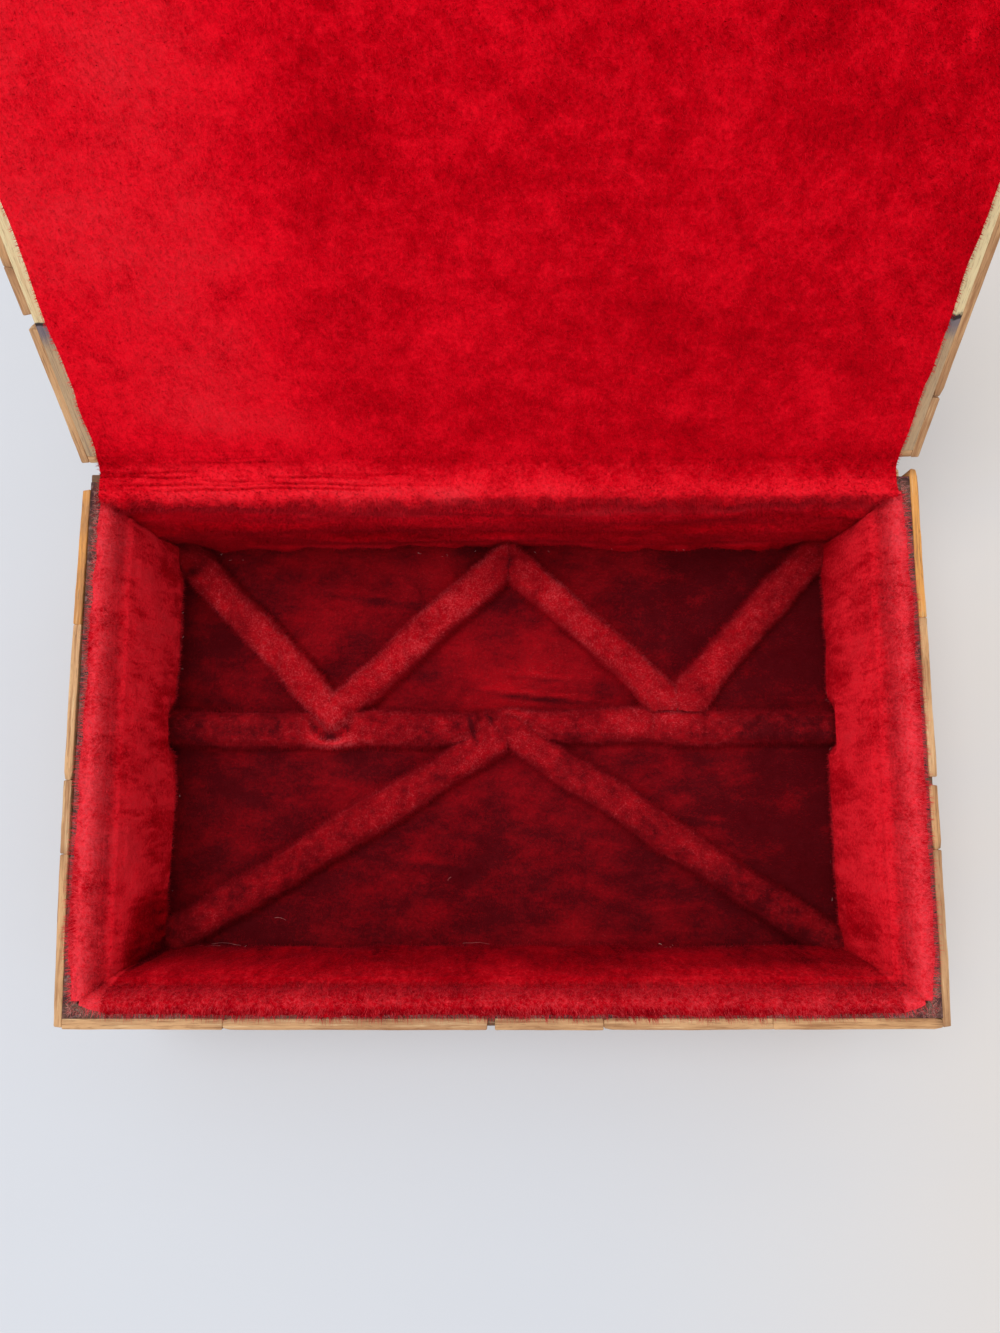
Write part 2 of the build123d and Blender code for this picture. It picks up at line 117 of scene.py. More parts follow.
class PlushSettings(bpy.types.PropertyGroup):
    """The red plush of the linings."""

    pile_length: number_setting("Pile length", "Length of the pile on the linings", 0.002, unit="LENGTH")
    pile_width: number_setting("Pile width", "Width of one tuft at its root", 0.00019, unit="LENGTH")
    pile_density: number_setting("Pile density", "Tufts on each square millimetre", 4.2, min=0.1, max=8)
    # The reds run from deep, for painted shade, to bright, for painted light, as plush_material picks
    # them by level.
    deep: colour_setting("Deep red", "Plush down between the tufts", paint(78, 1, 8))
    body: colour_setting("Body red", "Plush seen against the nap", paint(172, 0, 15))
    rich: colour_setting("Rich red", "Plush seen from above", paint(206, 0, 20))
    bright: colour_setting("Bright red", "Plush seen along the nap", paint(251, 8, 34))
    # Pale is the colour of worn tips, and of the painted highlight on tips where the level is high.
    pale: colour_setting("Pale red", "Worn and lit tips of the pile", paint(240, 104, 112))


class WoodSettings(bpy.types.PropertyGroup):
    """The slats, the planks and the carcass."""

    tan: colour_setting("Tan", "Plain slats", paint(214, 166, 117))
    amber: colour_setting("Amber", "Slats that kept their varnish", paint(228, 158, 78))
    brown: colour_setting("Brown", "Worn and dirty slats", paint(170, 122, 82))
    cream: colour_setting("Cream", "Front plank of the lid", paint(238, 218, 168))
    stain: colour_setting("Stain", "Blue-grey stain along the joint of the lid", paint(104, 100, 118))
    carcass: colour_setting("Carcass", "Bare old wood of the rim", paint(98, 68, 56))


class StageSettings(bpy.types.PropertyGroup):
    """The floor, the lamps and the camera."""

    floor: colour_setting("Floor", "Pale floor under the box", paint(210, 213, 219))
    key_power: number_setting("Key lamp", "Power of the large soft lamp", 28.0, min=0, unit="POWER")
    sky_strength: number_setting("Sky", "Strength of the light from all sides", 0.84, min=0)
    lens: number_setting("Lens", "Focal length on the frame's long side", 24.306, unit="CAMERA")


# Random fields and moves of many points at once


def fade(value):
    """Smooth step from 0 to 1."""
    share = np.clip(value, 0, 1)
    return share * share * (3 - 2 * share)


# Size of the table of random values, and the primes that spread the cells over it
TABLE_SIZE = 4096
PRIMES = (73856093, 19349663, 83492791)


def lumps(points, size, seed):
    """Smooth random field from -1 to 1 whose lumps are about as large as size says."""
    table = np.random.default_rng(seed).uniform(-1, 1, TABLE_SIZE)
    spot = points / np.asarray(size, float)
    cell = np.floor(spot).astype(np.int64)
    share = fade(spot - cell)
    total = np.zeros(len(points))
    for corner in np.ndindex(2, 2, 2):
        at = cell + corner
        key = np.bitwise_xor.reduce(at * np.array(PRIMES), axis=1)
        weight = np.where(np.array(corner) == 1, share, 1 - share).prod(1)
        total += weight * table[key % TABLE_SIZE]
    return total


def rough(points, *fields):
    """Sum of random fields, each given by its height, the size of its lumps and its seed."""
    return sum(height * lumps(points, size, seed) for height, size, seed in fields)


def bump(value, middle, width):
    """Bell of height 1 round a middle."""
    return np.exp(-(((value - middle) / width) ** 2))


def hill(ground, place, spread):
    """Bell of height 1 round a place on the floor."""
    return np.exp(-((ground - place) ** 2).sum(1) / spread)


def xyz(*columns):
    """Points or ways from their three columns, of which some may be one number for all."""
    return np.stack(np.broadcast_arrays(*columns), 1)


def get_points(piece):
    """Vertices of a piece in millimetres."""
    co = np.empty(len(piece.data.vertices) * 3, np.float32)
    piece.data.vertices.foreach_get("co", co)
    return co.reshape(-1, 3).astype(float) / MM


def set_points(piece, points):
    piece.data.vertices.foreach_set("co", (points * MM).astype(np.float32).ravel())
    piece.data.update()


def get_normals(piece):
    normals = np.empty(len(piece.data.vertices) * 3, np.float32)
    piece.data.vertex_normals.foreach_get("vector", normals)
    return normals.reshape(-1, 3).astype(float)


def unit(vectors):
    return vectors / np.maximum(np.linalg.norm(vectors, axis=1, keepdims=True), 1e-12)


def heading(start, end):
    """Unit way from one point to another."""
    run = np.subtract(end, start, dtype=float)
    return run / np.linalg.norm(run)


def left_of(way):
    """A way over the ground turned a quarter to the left."""
    return np.array((-way[1], way[0]))


def turned(points, angle):
    """Points in millimetres turned about the hinge axis."""
    rotation = np.array(Matrix.Rotation(angle, 3, "X"))
    pivot = np.array(HINGE_AXIS)
    return (points - pivot) @ rotation.T + pivot


def swung_open(points):
    """From the closed lid to the open rest pose."""
    return turned(points, -LID_TURN)


def swung_shut(points):
    """From the open rest pose to the closed lid."""
    return turned(points, LID_TURN)


# Work with Blender's own tools


def nothing_selected():
    bpy.ops.object.select_all(action="DESELECT")


def take(piece):
    """Makes a piece the selected, active one."""
    nothing_selected()
    piece.select_set(True)
    bpy.context.view_layer.objects.active = piece
    return piece


def named(name):
    """Names the piece that an operator has just added."""
    piece = bpy.context.active_object
    piece.name = name
    piece.data.name = name
    return piece


def apply_modifier(piece, kind, **settings):
    take(piece)
    modifier = piece.modifiers.new(kind.title(), kind)
    for key, value in settings.items():
        setattr(modifier, key, value)
    bpy.ops.object.modifier_apply(modifier=modifier.name)


def in_edit(piece, tool, **settings):
    """Uses one edit tool on the whole of a piece."""
    take(piece)
    bpy.ops.object.mode_set(mode="EDIT")
    bpy.ops.mesh.select_all(action="SELECT")
    tool(**settings)
    bpy.ops.object.mode_set(mode="OBJECT")


def on_edges(piece, wanted, tool, **settings):
    """Uses one edit tool on the edges for which wanted(middle, way) holds, both in millimetres."""
    take(piece)
    bpy.ops.object.mode_set(mode="EDIT")
    bpy.ops.mesh.select_mode(type="EDGE")
    bpy.ops.mesh.select_all(action="DESELECT")
    bpy.ops.object.mode_set(mode="OBJECT")
    points = get_points(piece)
    for edge in piece.data.edges:
        a, b = (points[number] for number in edge.vertices)
        edge.select = bool(wanted((a + b) / 2, b - a))
    bpy.ops.object.mode_set(mode="EDIT")
    tool(**settings)
    bpy.ops.object.mode_set(mode="OBJECT")


def make_block(name, size):
    """Block of a size in millimetres, from the primitive."""
    nothing_selected()
    bpy.ops.mesh.primitive_cube_add(size=1)
    piece = named(name)
    set_points(piece, get_points(piece) * MM * np.array(size))
    return piece


def shade(piece, angle=60):
    take(piece)
    bpy.ops.object.shade_smooth_by_angle(angle=math.radians(angle))


def copied(piece):
    """A copy that shows and has a mesh of its own."""
    copy = piece.copy()
    copy.data = piece.data.copy()
    copy.hide_viewport = False
    bpy.context.scene.collection.objects.link(copy)
    return copy


def joined(pieces, name):
    """Joins like pieces into one."""
    nothing_selected()
    for piece in pieces:
        piece.select_set(True)
    bpy.context.view_layer.objects.active = pieces[0]
    if len(pieces) > 1:
        bpy.ops.object.join()
    return named(name)


def dress(piece, material):
    piece.data.materials.clear()
    piece.data.materials.append(material)


def set_attribute(piece, name, values):
    """Stores one number for each vertex."""
    attribute = piece.data.attributes.get(name) or piece.data.attributes.new(name, "FLOAT", "POINT")
    values = np.broadcast_to(values, len(piece.data.vertices))
    attribute.data.foreach_set("value", values.astype(np.float32))


# Shader maths as Python expressions


class Wire:
    """Output socket of a node, on which arithmetic adds Math nodes."""

    def __init__(self, recipe, socket):
        self.recipe = recipe
        self.socket = socket

    def __add__(self, other):
        return self.recipe.maths("ADD", self, other)

    def __sub__(self, other):
        return self.recipe.maths("SUBTRACT", self, other)

    def __mul__(self, other):
        return self.recipe.maths("MULTIPLY", self, other)

    def __rsub__(self, other):
        return self.recipe.maths("SUBTRACT", other, self)

    __radd__ = __add__
    __rmul__ = __mul__


class Recipe:
    """A material's node tree."""

    def __init__(self, name):
        self.material = bpy.data.materials.new(name)
        self.material.use_nodes = True
        self.tree = self.material.node_tree
        self.shader = next(n for n in self.tree.nodes if n.type == "BSDF_PRINCIPLED")

    def feed(self, socket, value):
        if isinstance(value, Wire):
            self.tree.links.new(value.socket, socket)
        elif socket.type == "RGBA":
            socket.default_value = (*value[:3], 1.0)
        else:
            socket.default_value = value

    def node(self, kind, settings=None, sockets=None, output=0):
        """Adds any node: its settings first, then the values or links of its sockets."""
        added = self.tree.nodes.new(kind)
        for key, value in (settings or {}).items():
            if key == "stops":
                self.set_stops(added.color_ramp, value)
            else:
                setattr(added, key, value)
        for key, value in (sockets or {}).items():
            self.feed(added.inputs[key], value)
        return Wire(self, added.outputs[output])

    def set_stops(self, ramp, stops):
        while len(ramp.elements) < len(stops):
            ramp.elements.new(0.5)
        for element, (position, colour) in zip(ramp.elements, stops):
            element.position = position
            element.color = (*colour, 1.0)

    def maths(self, operation, *values):
        return self.node("ShaderNodeMath", {"operation": operation}, dict(enumerate(values)))

    def clamp(self, value):
        return self.node("ShaderNodeClamp", None, {"Value": value})

    def smooth(self, value, low, high):
        """0 below low, 1 above high and a smooth step between them."""
        sockets = {"Value": value, "From Min": low, "From Max": high}
        return self.node("ShaderNodeMapRange", {"interpolation_type": "SMOOTHSTEP"}, sockets)

    def mix(self, factor, first, second):
        return self.node("ShaderNodeMix", {"data_type": "RGBA"}, {0: factor, 6: first, 7: second}, 2)

    def coats(self, colour, *layers):
        """Lays paints over a colour, each where a value passes from low to high and for a share only."""
        for value, low, high, share, cover in layers:
            colour = self.mix(self.smooth(value, low, high) * share, colour, cover)
        return colour

    def place(self, turn=0.0):
        """Object coordinates, turned about X so that a lid piece reads as if it lay flat."""
        spot = self.node("ShaderNodeTexCoord", None, None, "Object")
        if turn:
            sockets = {"Vector": spot, "Rotation": (turn, 0, 0)}
            spot = self.node("ShaderNodeMapping", {"vector_type": "POINT"}, sockets)
        return spot

    def stretched(self, spot, scale, shift=None):
        """A place scaled along its axes and moved by an amount that may vary."""
        scaled = self.node("ShaderNodeVectorMath", {"operation": "MULTIPLY"}, {0: spot, 1: scale})
        if shift is None:
            return scaled
        return self.node("ShaderNodeVectorMath", {"operation": "ADD"}, {0: scaled, 1: shift})

    def noise(self, spot, scale, detail=2.0, roughness=0.5):
        sockets = {"Vector": spot, "Scale": scale, "Detail": detail, "Roughness": roughness}
        return self.node("ShaderNodeTexNoise", None, sockets, "Fac")

    def streaks(self, spot, scale, detail, roughness, shift=None):
        """Noise with a scale of its own along each axis."""
        return self.noise(self.stretched(spot, scale, shift), 1.0, detail, roughness)

    def attribute(self, name):
        return self.node("ShaderNodeAttribute", {"attribute_name": name}, None, "Fac")

    def axes(self, spot):
        split = self.node("ShaderNodeSeparateXYZ", None, {0: spot})
        return [Wire(self, socket) for socket in split.socket.node.outputs]

    def finish(self, colour, roughness, height=None, bump_depth=0.0, **fixed):
        """Feeds the shader. Height is in shares of the bump's depth, in metres."""
        self.feed(self.shader.inputs["Base Color"], colour)
        self.feed(self.shader.inputs["Roughness"], roughness)
        for name, value in fixed.items():
            title = name.replace("_", " ").title().replace("Ior", "IOR")
            self.feed(self.shader.inputs[title], value)
        if height is not None:
            sockets = {"Height": height, "Distance": bump_depth, "Strength": 1.0}
            self.feed(self.shader.inputs["Normal"], self.node("ShaderNodeBump", None, sockets))
        return self.material


# Plush material and pile


def plush_material(name, lift, frost, stroke, patchy, grain=0.5, sheen=0.45, worn=None, dust=0.0):
    """Red plush: clouds, strokes of the nap, patches and fine tufts, with paler tips where frost is high.

    Lift brightens the whole; each copy of the one fabric gets a lift of its own, which paints light and
    shade on it. The painted light and shade of each place comes in as an attribute, and the pile is
    painted darker towards its roots. Pale tips grow more where the level is high, so they are partly a
    painted highlight. Worn makes the share of the frost from the recipe and the height: wear at a wall's
    rim, painted highlight on the lid, and both on a divider's crest.
    """
    plush = bpy.context.scene.box_plush
    recipe = Recipe(name)
    spot = recipe.place()
    clouds = recipe.noise(spot, 42, 3, 0.55)
    strokes = recipe.streaks(spot, stroke, 3, 0.6)
    patches = recipe.streaks(spot, [value * 2.6 for value in stroke], 4, 0.65)
    tufts = recipe.noise(spot, 1000, 3, 0.65)
    fibres = recipe.noise(spot, 3600, 1, 0.5)
    tip = recipe.attribute("tip")
    # Painted light and shade: the lift of this copy and the painted light of each place set the level.
    level = lift + recipe.attribute("glow") + (clouds - 0.5) * 0.42 + (strokes - 0.5) * 0.42
    level = level + (patches - 0.5) * patchy + (tufts - 0.5) * grain + (fibres - 0.5) * 0.2
    # Painted shade in the pile: its tips lighter, its roots and the surface between the tufts darker.
    level = level + tip * 0.2 + recipe.attribute("tone") * 0.12
    if worn:
        frost = worn(recipe, recipe.axes(spot)[2] * (1 / MM)) * frost
    # The ramp runs from deep in painted shade to bright in painted light, and random tone moves along it
    # too.
    stops = [(0.0, plush.deep), (0.42, plush.body), (0.66, plush.rich), (0.95, plush.bright)]
    colour = recipe.node("ShaderNodeValToRGB", {"stops": stops}, {0: recipe.clamp(level)}, "Color")
    # Pale tips: partly worn tips, partly a painted highlight, as they and the specks grow with the level.
    pale_tips_and_highlight = recipe.smooth(tip * 0.5 + fibres * 0.45 + tufts * grain * 0.9 + level, 0.9, 1.9) * frost
    speck = recipe.smooth(recipe.attribute("tone"), 0.9, 1.0) * tip * frost * 0.6 * level
    colour = recipe.mix(recipe.clamp(pale_tips_and_highlight + speck + (clouds + patches) * dust), colour, plush.pale)
    height = patches * patchy + tufts * grain + fibres * 0.15
    cloth = {"sheen_weight": sheen, "sheen_roughness": 0.45, "sheen_tint": (1.0, 0.03, 0.06)}
    return recipe.finish(colour, 0.9, height, 0.0009, specular_ior_level=0.0, **cloth)


def worn_at_rim(recipe, height):
    """Little wear, and more along the upper edge of a wall."""
    uneven = (recipe.noise(recipe.place(), 160, 3, 0.6) - 0.5) * 8
    return 0.3 + recipe.smooth(height + uneven, RIM - 9, RIM + 1) * 0.5


def crest_wear_and_highlight(recipe, height):
    """Wear and painted highlight on top of a divider only."""
    return recipe.smooth(height, FLOOR + 3.5, FLOOR + 8.0)


def lid_painted_highlight(recipe, height):
    """Painted highlight: pale tips where the lid plush is painted lighter, and most along the rim."""
    rim = recipe.smooth(height, RIM - 7, RIM - 1) * recipe.smooth(height, RIM + 5, RIM + 2)
    return 0.2 + recipe.smooth(recipe.attribute("glow"), 0.14, 0.4) * 0.8 + rim * 0.6


def visible_triangles(base, keep):
    """Triangles of a surface as vertex numbers, and the area of each that keep lets through."""
    mesh = base.data
    mesh.calc_loop_triangles()
    corners = np.empty(len(mesh.loop_triangles) * 3, np.int32)
    mesh.loop_triangles.foreach_get("vertices", corners)
    corners = corners.reshape(-1, 3)
    points, normals = get_points(base), get_normals(base)
    a, b, c = (points[corners[:, k]] for k in range(3))
    area = np.linalg.norm(np.cross(b - a, c - a), axis=1) / 2
    share = keep((a + b + c) / 3, unit(normals[corners].mean(1)))
    return corners, points, normals, area * share


def grow_pile(base, name, keep, seed, nap, longer, denser, finer, spread, glow, stand=0.35):
    """Tapered tufts over a plush surface, leaning as nap(points) says. Each tuft is one thin triangle.

    Keep says from points and normals where tufts grow, and longer how long they are from place to place.
    The function of painted light says how much lighter or darker they are painted, as light and shade.
    Denser, finer and spread vary their number, width and lean, and stand is how far they catch the light
    as if they stood towards the opening.
    """
    plush = bpy.context.scene.box_plush
    chance = np.random.default_rng(seed)
    corners, points, normals, weight = visible_triangles(base, keep)
    count = int(weight.sum() * plush.pile_density * denser)
    chosen = chance.choice(len(corners), count, p=weight / weight.sum())
    share = chance.dirichlet((1, 1, 1), count)[:, :, None]
    root = (points[corners[chosen]] * share).sum(1)
    up = unit((normals[corners[chosen]] * share).sum(1))
    way = unit(up + nap(root) + chance.normal(0, spread, (count, 3)))
    below = (way * up).sum(1, keepdims=True)
    way = unit(way + up * np.maximum(0.25 - below, 0))
    side = unit(np.cross(way, up) + chance.normal(0, 0.25, (count, 3)))
    length = plush.pile_length / MM * longer(root)[:, None] * chance.uniform(0.65, 1.25, (count, 1))
    width = plush.pile_width / MM * finer * chance.uniform(0.7, 1.3, (count, 1))
    foot = root - up * 0.1
    tip = foot + way * length
    made = np.stack([foot - side * width / 2, foot + side * width / 2, tip], 1)
    opening = up * 0.4 + np.array((0, 0, 1))
    facing = (np.cross(made[:, 1] - made[:, 0], made[:, 2] - made[:, 0]) * opening).sum(1)
    made[facing < 0] = made[facing < 0][:, [1, 0, 2]]
    piece = triangles_piece(name, made.reshape(-1, 3))
    soft = unit(up + opening * stand + chance.normal(0, 0.2, (count, 3)))
    piece.data.normals_split_custom_set_from_vertices(np.repeat(soft, 3, 0))
    set_attribute(piece, "tip", np.tile((0.0, 0.0, 1.0), count))
    set_attribute(piece, "tone", np.repeat(chance.uniform(-1, 1, count), 3))
    # Painted light and shade, on the surface and on each tuft, for the material to read.
    set_attribute(base, "glow", glow(points))
    set_attribute(piece, "glow", np.repeat(glow(root), 3))
    lay_out_triangles(piece)
    piece.data.materials.append(base.data.materials[0])
    return piece


def lay_out_triangles(piece):
    """Gives each loose triangle half of a cell of its own in a UV map named OFBake."""
    count = len(piece.data.polygons)
    cells = math.ceil(math.sqrt(count / 2))
    number = np.arange(count)
    column, row, second = (number // 2) % cells, (number // 2) // cells, number % 2
    corner = np.array(((0.08, 0.08), (0.8, 0.08), (0.08, 0.8)))
    spots = np.where(second[:, None, None] == 1, 1 - corner, corner) + xyz(column, row)[:, None]
    layer = piece.data.uv_layers.new(name="OFBake")
    layer.data.foreach_set("uv", (spots / cells).astype(np.float32).ravel())


def triangles_piece(name, points):
    """A piece of loose triangles, three points each, in millimetres."""
    mesh = bpy.data.meshes.new(name)
    count = len(points)
    mesh.vertices.add(count)
    mesh.vertices.foreach_set("co", (points * MM).astype(np.float32).ravel())
    mesh.loops.add(count)
    mesh.loops.foreach_set("vertex_index", np.arange(count, dtype=np.int32))
    mesh.polygons.add(count // 3)
    mesh.polygons.foreach_set("loop_start", np.arange(0, count, 3, dtype=np.int32))
    mesh.update(calc_edges=True)
    piece = bpy.data.objects.new(name, mesh)
    bpy.context.scene.collection.objects.link(piece)
    return piece


def facing_in(points, normals):
    """Keeps what faces up, or into the box."""
    far = np.maximum(np.linalg.norm(points[:, :2], axis=1), 1)
    inward = -(points * normals)[:, :2].sum(1) / far
    return fade((np.maximum(normals[:, 2], inward) - 0.1) * 8)


def upwards(points, normals):
    """Keeps what faces up."""
    return fade((normals[:, 2] - 0.05) * 8)


def over_strip(points, normals):
    """Keeps the top and sides of a divider."""
    return (points[:, 2] > FLOOR + 0.2) * fade((normals[:, 2] + 0.5) * 4)


def lid_between(low, high):
    """Keeps what can be seen of the lid's plush between two heights."""

    def keep(points, normals):
        z = points[:, 2]
        facing = normals @ np.array((0, -0.8, 0.6)) + 0.8 * np.abs(normals[:, 0]) * (z > RIM + 4)
        return fade((facing - 0.05) * 6) * ((z > low) & (z <= high))

    return keep


# Sheets and pads

# Thickness of each sheet, and the step along a path
LID_THICK = 1.15
FLOOR_THICK = 1.3
RIM_THICK = 0.35
PATH_STEP = 0.4
# How far the plush lies over the hinge axis, square to the lid
LID_PLUSH_OUT = 2.35


def make_grid(name, across, along):
    """Flat grid from the primitive, and its two coordinates from 0 to 1."""
    nothing_selected()
    bpy.ops.mesh.primitive_grid_add(x_subdivisions=across, y_subdivisions=along, size=1)
    piece = named(name)
    flat = get_points(piece) * MM + 0.5
    return piece, flat[:, 0], flat[:, 1]


def rounded_path(corners, radii):
    """Points at even steps along straight runs whose corners are rounded, and the length of it all."""
    corners = np.asarray(corners, float)
    line = [corners[0]]
    for before, corner, after, radius in zip(corners, corners[1:], corners[2:], radii):
        arriving, leaving = heading(before, corner), heading(corner, after)
        angle = math.acos(np.clip(arriving @ leaving, -1, 1))
        reach = radius * math.tan(angle / 2)
        centre = corner + heading(arriving, leaving) * radius / math.cos(angle / 2)
        start = corner - arriving * reach - centre
        for share in np.linspace(0, 1, 12):
            ahead = math.sin(share * angle) * arriving * radius
            line.append(centre + start * math.cos(share * angle) + ahead)
    line.append(corners[-1])
    line = np.array(line)
    run = np.concatenate([[0], np.cumsum(np.linalg.norm(np.diff(line, axis=0), axis=1))])
    steps = np.linspace(0, run[-1], int(run[-1] / PATH_STEP) + 2)
    return np.stack([np.interp(steps, run, line[:, k]) for k in range(2)], 1), run[-1]


def on_path(path, share):
    at = share * (len(path) - 1)
    return np.stack([np.interp(at, np.arange(len(path)), path[:, k]) for k in range(2)], 1)


def thicken(piece, thickness):
    """Gives a sheet its thickness, on the side away from its face."""
    apply_modifier(piece, "SOLIDIFY", thickness=thickness * MM, offset=-1.0, use_rim=True)


def make_lid_sheet():
    """One sheet of plush from the foot of the back wall over the rim and up the open lid."""
    lid_way = np.array((math.cos(math.pi - LID_TURN), math.sin(math.pi - LID_TURN)))
    lid_face = left_of(lid_way)
    hinge = np.array(HINGE_AXIS)[1:]
    lid_foot = hinge + lid_face * LID_PLUSH_OUT + lid_way * 1.2
    lid_end = hinge + lid_face * LID_PLUSH_OUT + lid_way * (HINGE_AXIS.y + INNER_Y - 0.6)
    corners = [(TRAY_Y, FLOOR + 0.2), (TRAY_Y - 1.6, 33), (TRAY_Y - 0.4, RIM + 1.3), lid_foot, lid_end]
    path, length = rounded_path(corners, (60, 4.6, 4.5))
    piece, across, along = make_grid("lid_and_back_plush", 186, 200)
    rim_run = length * np.argmin(np.abs(path[:, 1] - RIM)) / len(path)
    run = np.interp(along, [0, 0.17, 0.6, 1], [0, rim_run - 6, rim_run + 17, length])
    spots = on_path(path, run / length)
    widths = [INNER_X - 1.1, INNER_X - 1.1, INNER_X + 0.4, INNER_X + 0.2, INNER_X - 0.4]
    half = np.interp(run, [0, rim_run - 6, rim_run + 0.5, rim_run + 10, rim_run + 20], widths)
    side = (across - 0.5) * 2
    half = half - 1.0 * (side > 0.9) * bump(run, rim_run + 6, 9)
    points = xyz(side * half, spots[:, 0], spots[:, 1])
    ragged = rough(points, (0.5, 9, 5), (0.25, 3, 6))
    points[:, 0] += np.sign(side) * fade((np.abs(side) - 0.94) / 0.06) * ragged
    set_points(piece, points)
    shape_lid_sheet(piece, run, rim_run)
    thicken(piece, LID_THICK)
    shade(piece)
    return piece


def shape_lid_sheet(piece, run, rim_run):
    """Wrinkles over the hinge, soft folds on the back wall and a slightly uneven lid."""
    points, normals = get_points(piece), get_normals(piece)
    if normals[:, 1].mean() > 0:
        in_edit(piece, bpy.ops.mesh.flip_normals)
        normals = get_normals(piece)
    low = fade((rim_run - run) / 6)
    lift = rough(points, (0.35, (26, 26, 22), 11), (0.16, 7, 12))
    lift += low * rough(points, (1.1, (46, 9, 8), 13), (0.55, (22, 5, 4.5), 14))
    edge = rough(points, (0.7, (5, 60, 60), 17), (0.6, (1.9, 60, 60), 18))
    lift += edge * bump(run - rim_run, -1.5, 3.0)
    lift += 0.7 * bump(run - rim_run, 1.6, 1.6) * (1 - 0.55 * fade((20 - points[:, 0]) / 90))
    lift -= hinge_wrinkles(points)
    wavy = 0.2 + lumps(points, (11, 60, 60), 19) + 0.6 * lumps(points, (4, 60, 60), 21)
    lift += low * wavy * fade((FLOOR + 8 - points[:, 2]) / 8)
    press = end_press(points, ZIGZAG_ENDS) * low
    set_points(piece, points + normals * (lift * (1 - press))[:, None])
    points = get_points(piece)
    points[:, 1] += press * np.maximum(TRAY_Y + 0.4 - points[:, 1], 0)
    set_points(piece, points)


# Places of the creases behind the back wall's face, in millimetres
CREASE_PLACES = (3.9, 5.2, 6.3, 7.6, 8.8, 10.4, 12.3, 14.6, 17)


def hinge_wrinkles(points):
    """Depth of the thin wavy creases that cross the plush over the hinge, deepest at the left."""
    left = fade((-8 - points[:, 0]) / 55)
    past = points[:, 1] - TRAY_Y + 0.8 * np.maximum(points[:, 2] - RIM - 2.5, 0)
    past = past + 1.3 * lumps(points, (34, 90, 90), 15) + 0.45 * lumps(points, (10, 90, 90), 16)
    depth = 0
    for number, middle in enumerate(CREASE_PLACES):
        wave = past + 0.5 * lumps(points, (16, 90, 90), 220 + number)
        there = (0.1 + 0.9 * left) * fade(0.6 + 1.4 * lumps(points, (26, 80, 80), 20 + number))
        depth = depth + (0.8 - 0.04 * middle) * there * bump(wave, middle, 0.38)
    return depth * (points[:, 2] > RIM - 3)


# Dividers

# Half width and height of a strip, and how far it sinks into the floor plush
RIB_HALF = 5.7
RIB_HIGH = 8.2
RIB_SUNK = 0.35
# Y of the cross divider, and the corners of the zigzag and the arrow
BAR_Y = 6.3
V_LEFT = (-57.7, 10.9)
V_RIGHT = (60.3, 13.4)
BACK_APEX = (3.1, 65.9)
FRONT_APEX = (2.2, 5.0)
BACK_LEFT = (-109.9, 67.5)
BACK_RIGHT = (109.9, 67.5)
FRONT_LEFT = (-108.6, -62.6)
FRONT_RIGHT = (108.6, -64.5)


def mitre(before, corner, after):
    """Plane of the joint at a corner: a point and the way that leads on."""
    way = heading(before, corner) + heading(corner, after)
    return np.array(corner, float), way / np.linalg.norm(way)


def away(plane):
    return plane[0], -plane[1]


LEFT_MITRE = mitre(BACK_LEFT, V_LEFT, BACK_APEX)
BACK_MITRE = mitre(V_LEFT, BACK_APEX, V_RIGHT)
RIGHT_MITRE = mitre(BACK_APEX, V_RIGHT, BACK_RIGHT)
FRONT_MITRE = mitre(FRONT_LEFT, FRONT_APEX, FRONT_RIGHT)
BEHIND_BAR = (np.array((0.0, BAR_Y + 4.9)), np.array((0.0, 1.0)))


def beside(start, end, gap):
    """Plane along the left side of a divider, as far from its centre line as gap says."""
    across = left_of(heading(start, end))
    return start + across * gap, across


ABOVE_LEFT_ARM = beside(FRONT_LEFT, FRONT_APEX, RIB_HALF - 2.2)
ABOVE_RIGHT_ARM = beside(FRONT_APEX, FRONT_RIGHT, RIB_HALF - 2.2)

# Name: start, end, planes to keep in front of, how far each end runs on, and how round it is
RIBS = {
    "zigzag_left_outer": (BACK_LEFT, V_LEFT, [away(LEFT_MITRE)], (4, 8.8), (0, 1)),
    "zigzag_left_inner": (V_LEFT, BACK_APEX, [LEFT_MITRE, away(BACK_MITRE)], (8.8, 5), (1, 0)),
    "zigzag_right_inner": (
        BACK_APEX,
        V_RIGHT,
        [BACK_MITRE, away(RIGHT_MITRE), BEHIND_BAR],
        (5, 8),
        (0, 0),
    ),
    "zigzag_right_outer": (V_RIGHT, BACK_RIGHT, [RIGHT_MITRE, BEHIND_BAR], (8, 4), (0, 0)),
    "arrow_left": (FRONT_LEFT, FRONT_APEX, [away(FRONT_MITRE)], (8, 4.4), (0.8, 0.25)),
    "arrow_right": (FRONT_APEX, FRONT_RIGHT, [FRONT_MITRE], (4.4, 8), (0.25, 0.8)),
    "cross_left": ((-TRAY_X, BAR_Y), (0.4, BAR_Y), [ABOVE_LEFT_ARM], (0, 0), (0.35, 0)),
    "cross_right": ((0.5, BAR_Y), (TRAY_X, BAR_Y), [ABOVE_RIGHT_ARM], (0, 0), (0, 0.35)),
}


def rib_frame(name):
    """Start of a divider, the ways along and across it, and its length."""
    start, end = (np.array(p, float) for p in RIBS[name][:2])
    way = heading(start, end)
    return start, way, left_of(way), np.linalg.norm(end - start)


BAR_ENDS = (("cross_left", False), ("cross_right", True))
ZIGZAG_ENDS = (("zigzag_left_outer", False), ("zigzag_right_outer", True), ("zigzag_left_inner", True))


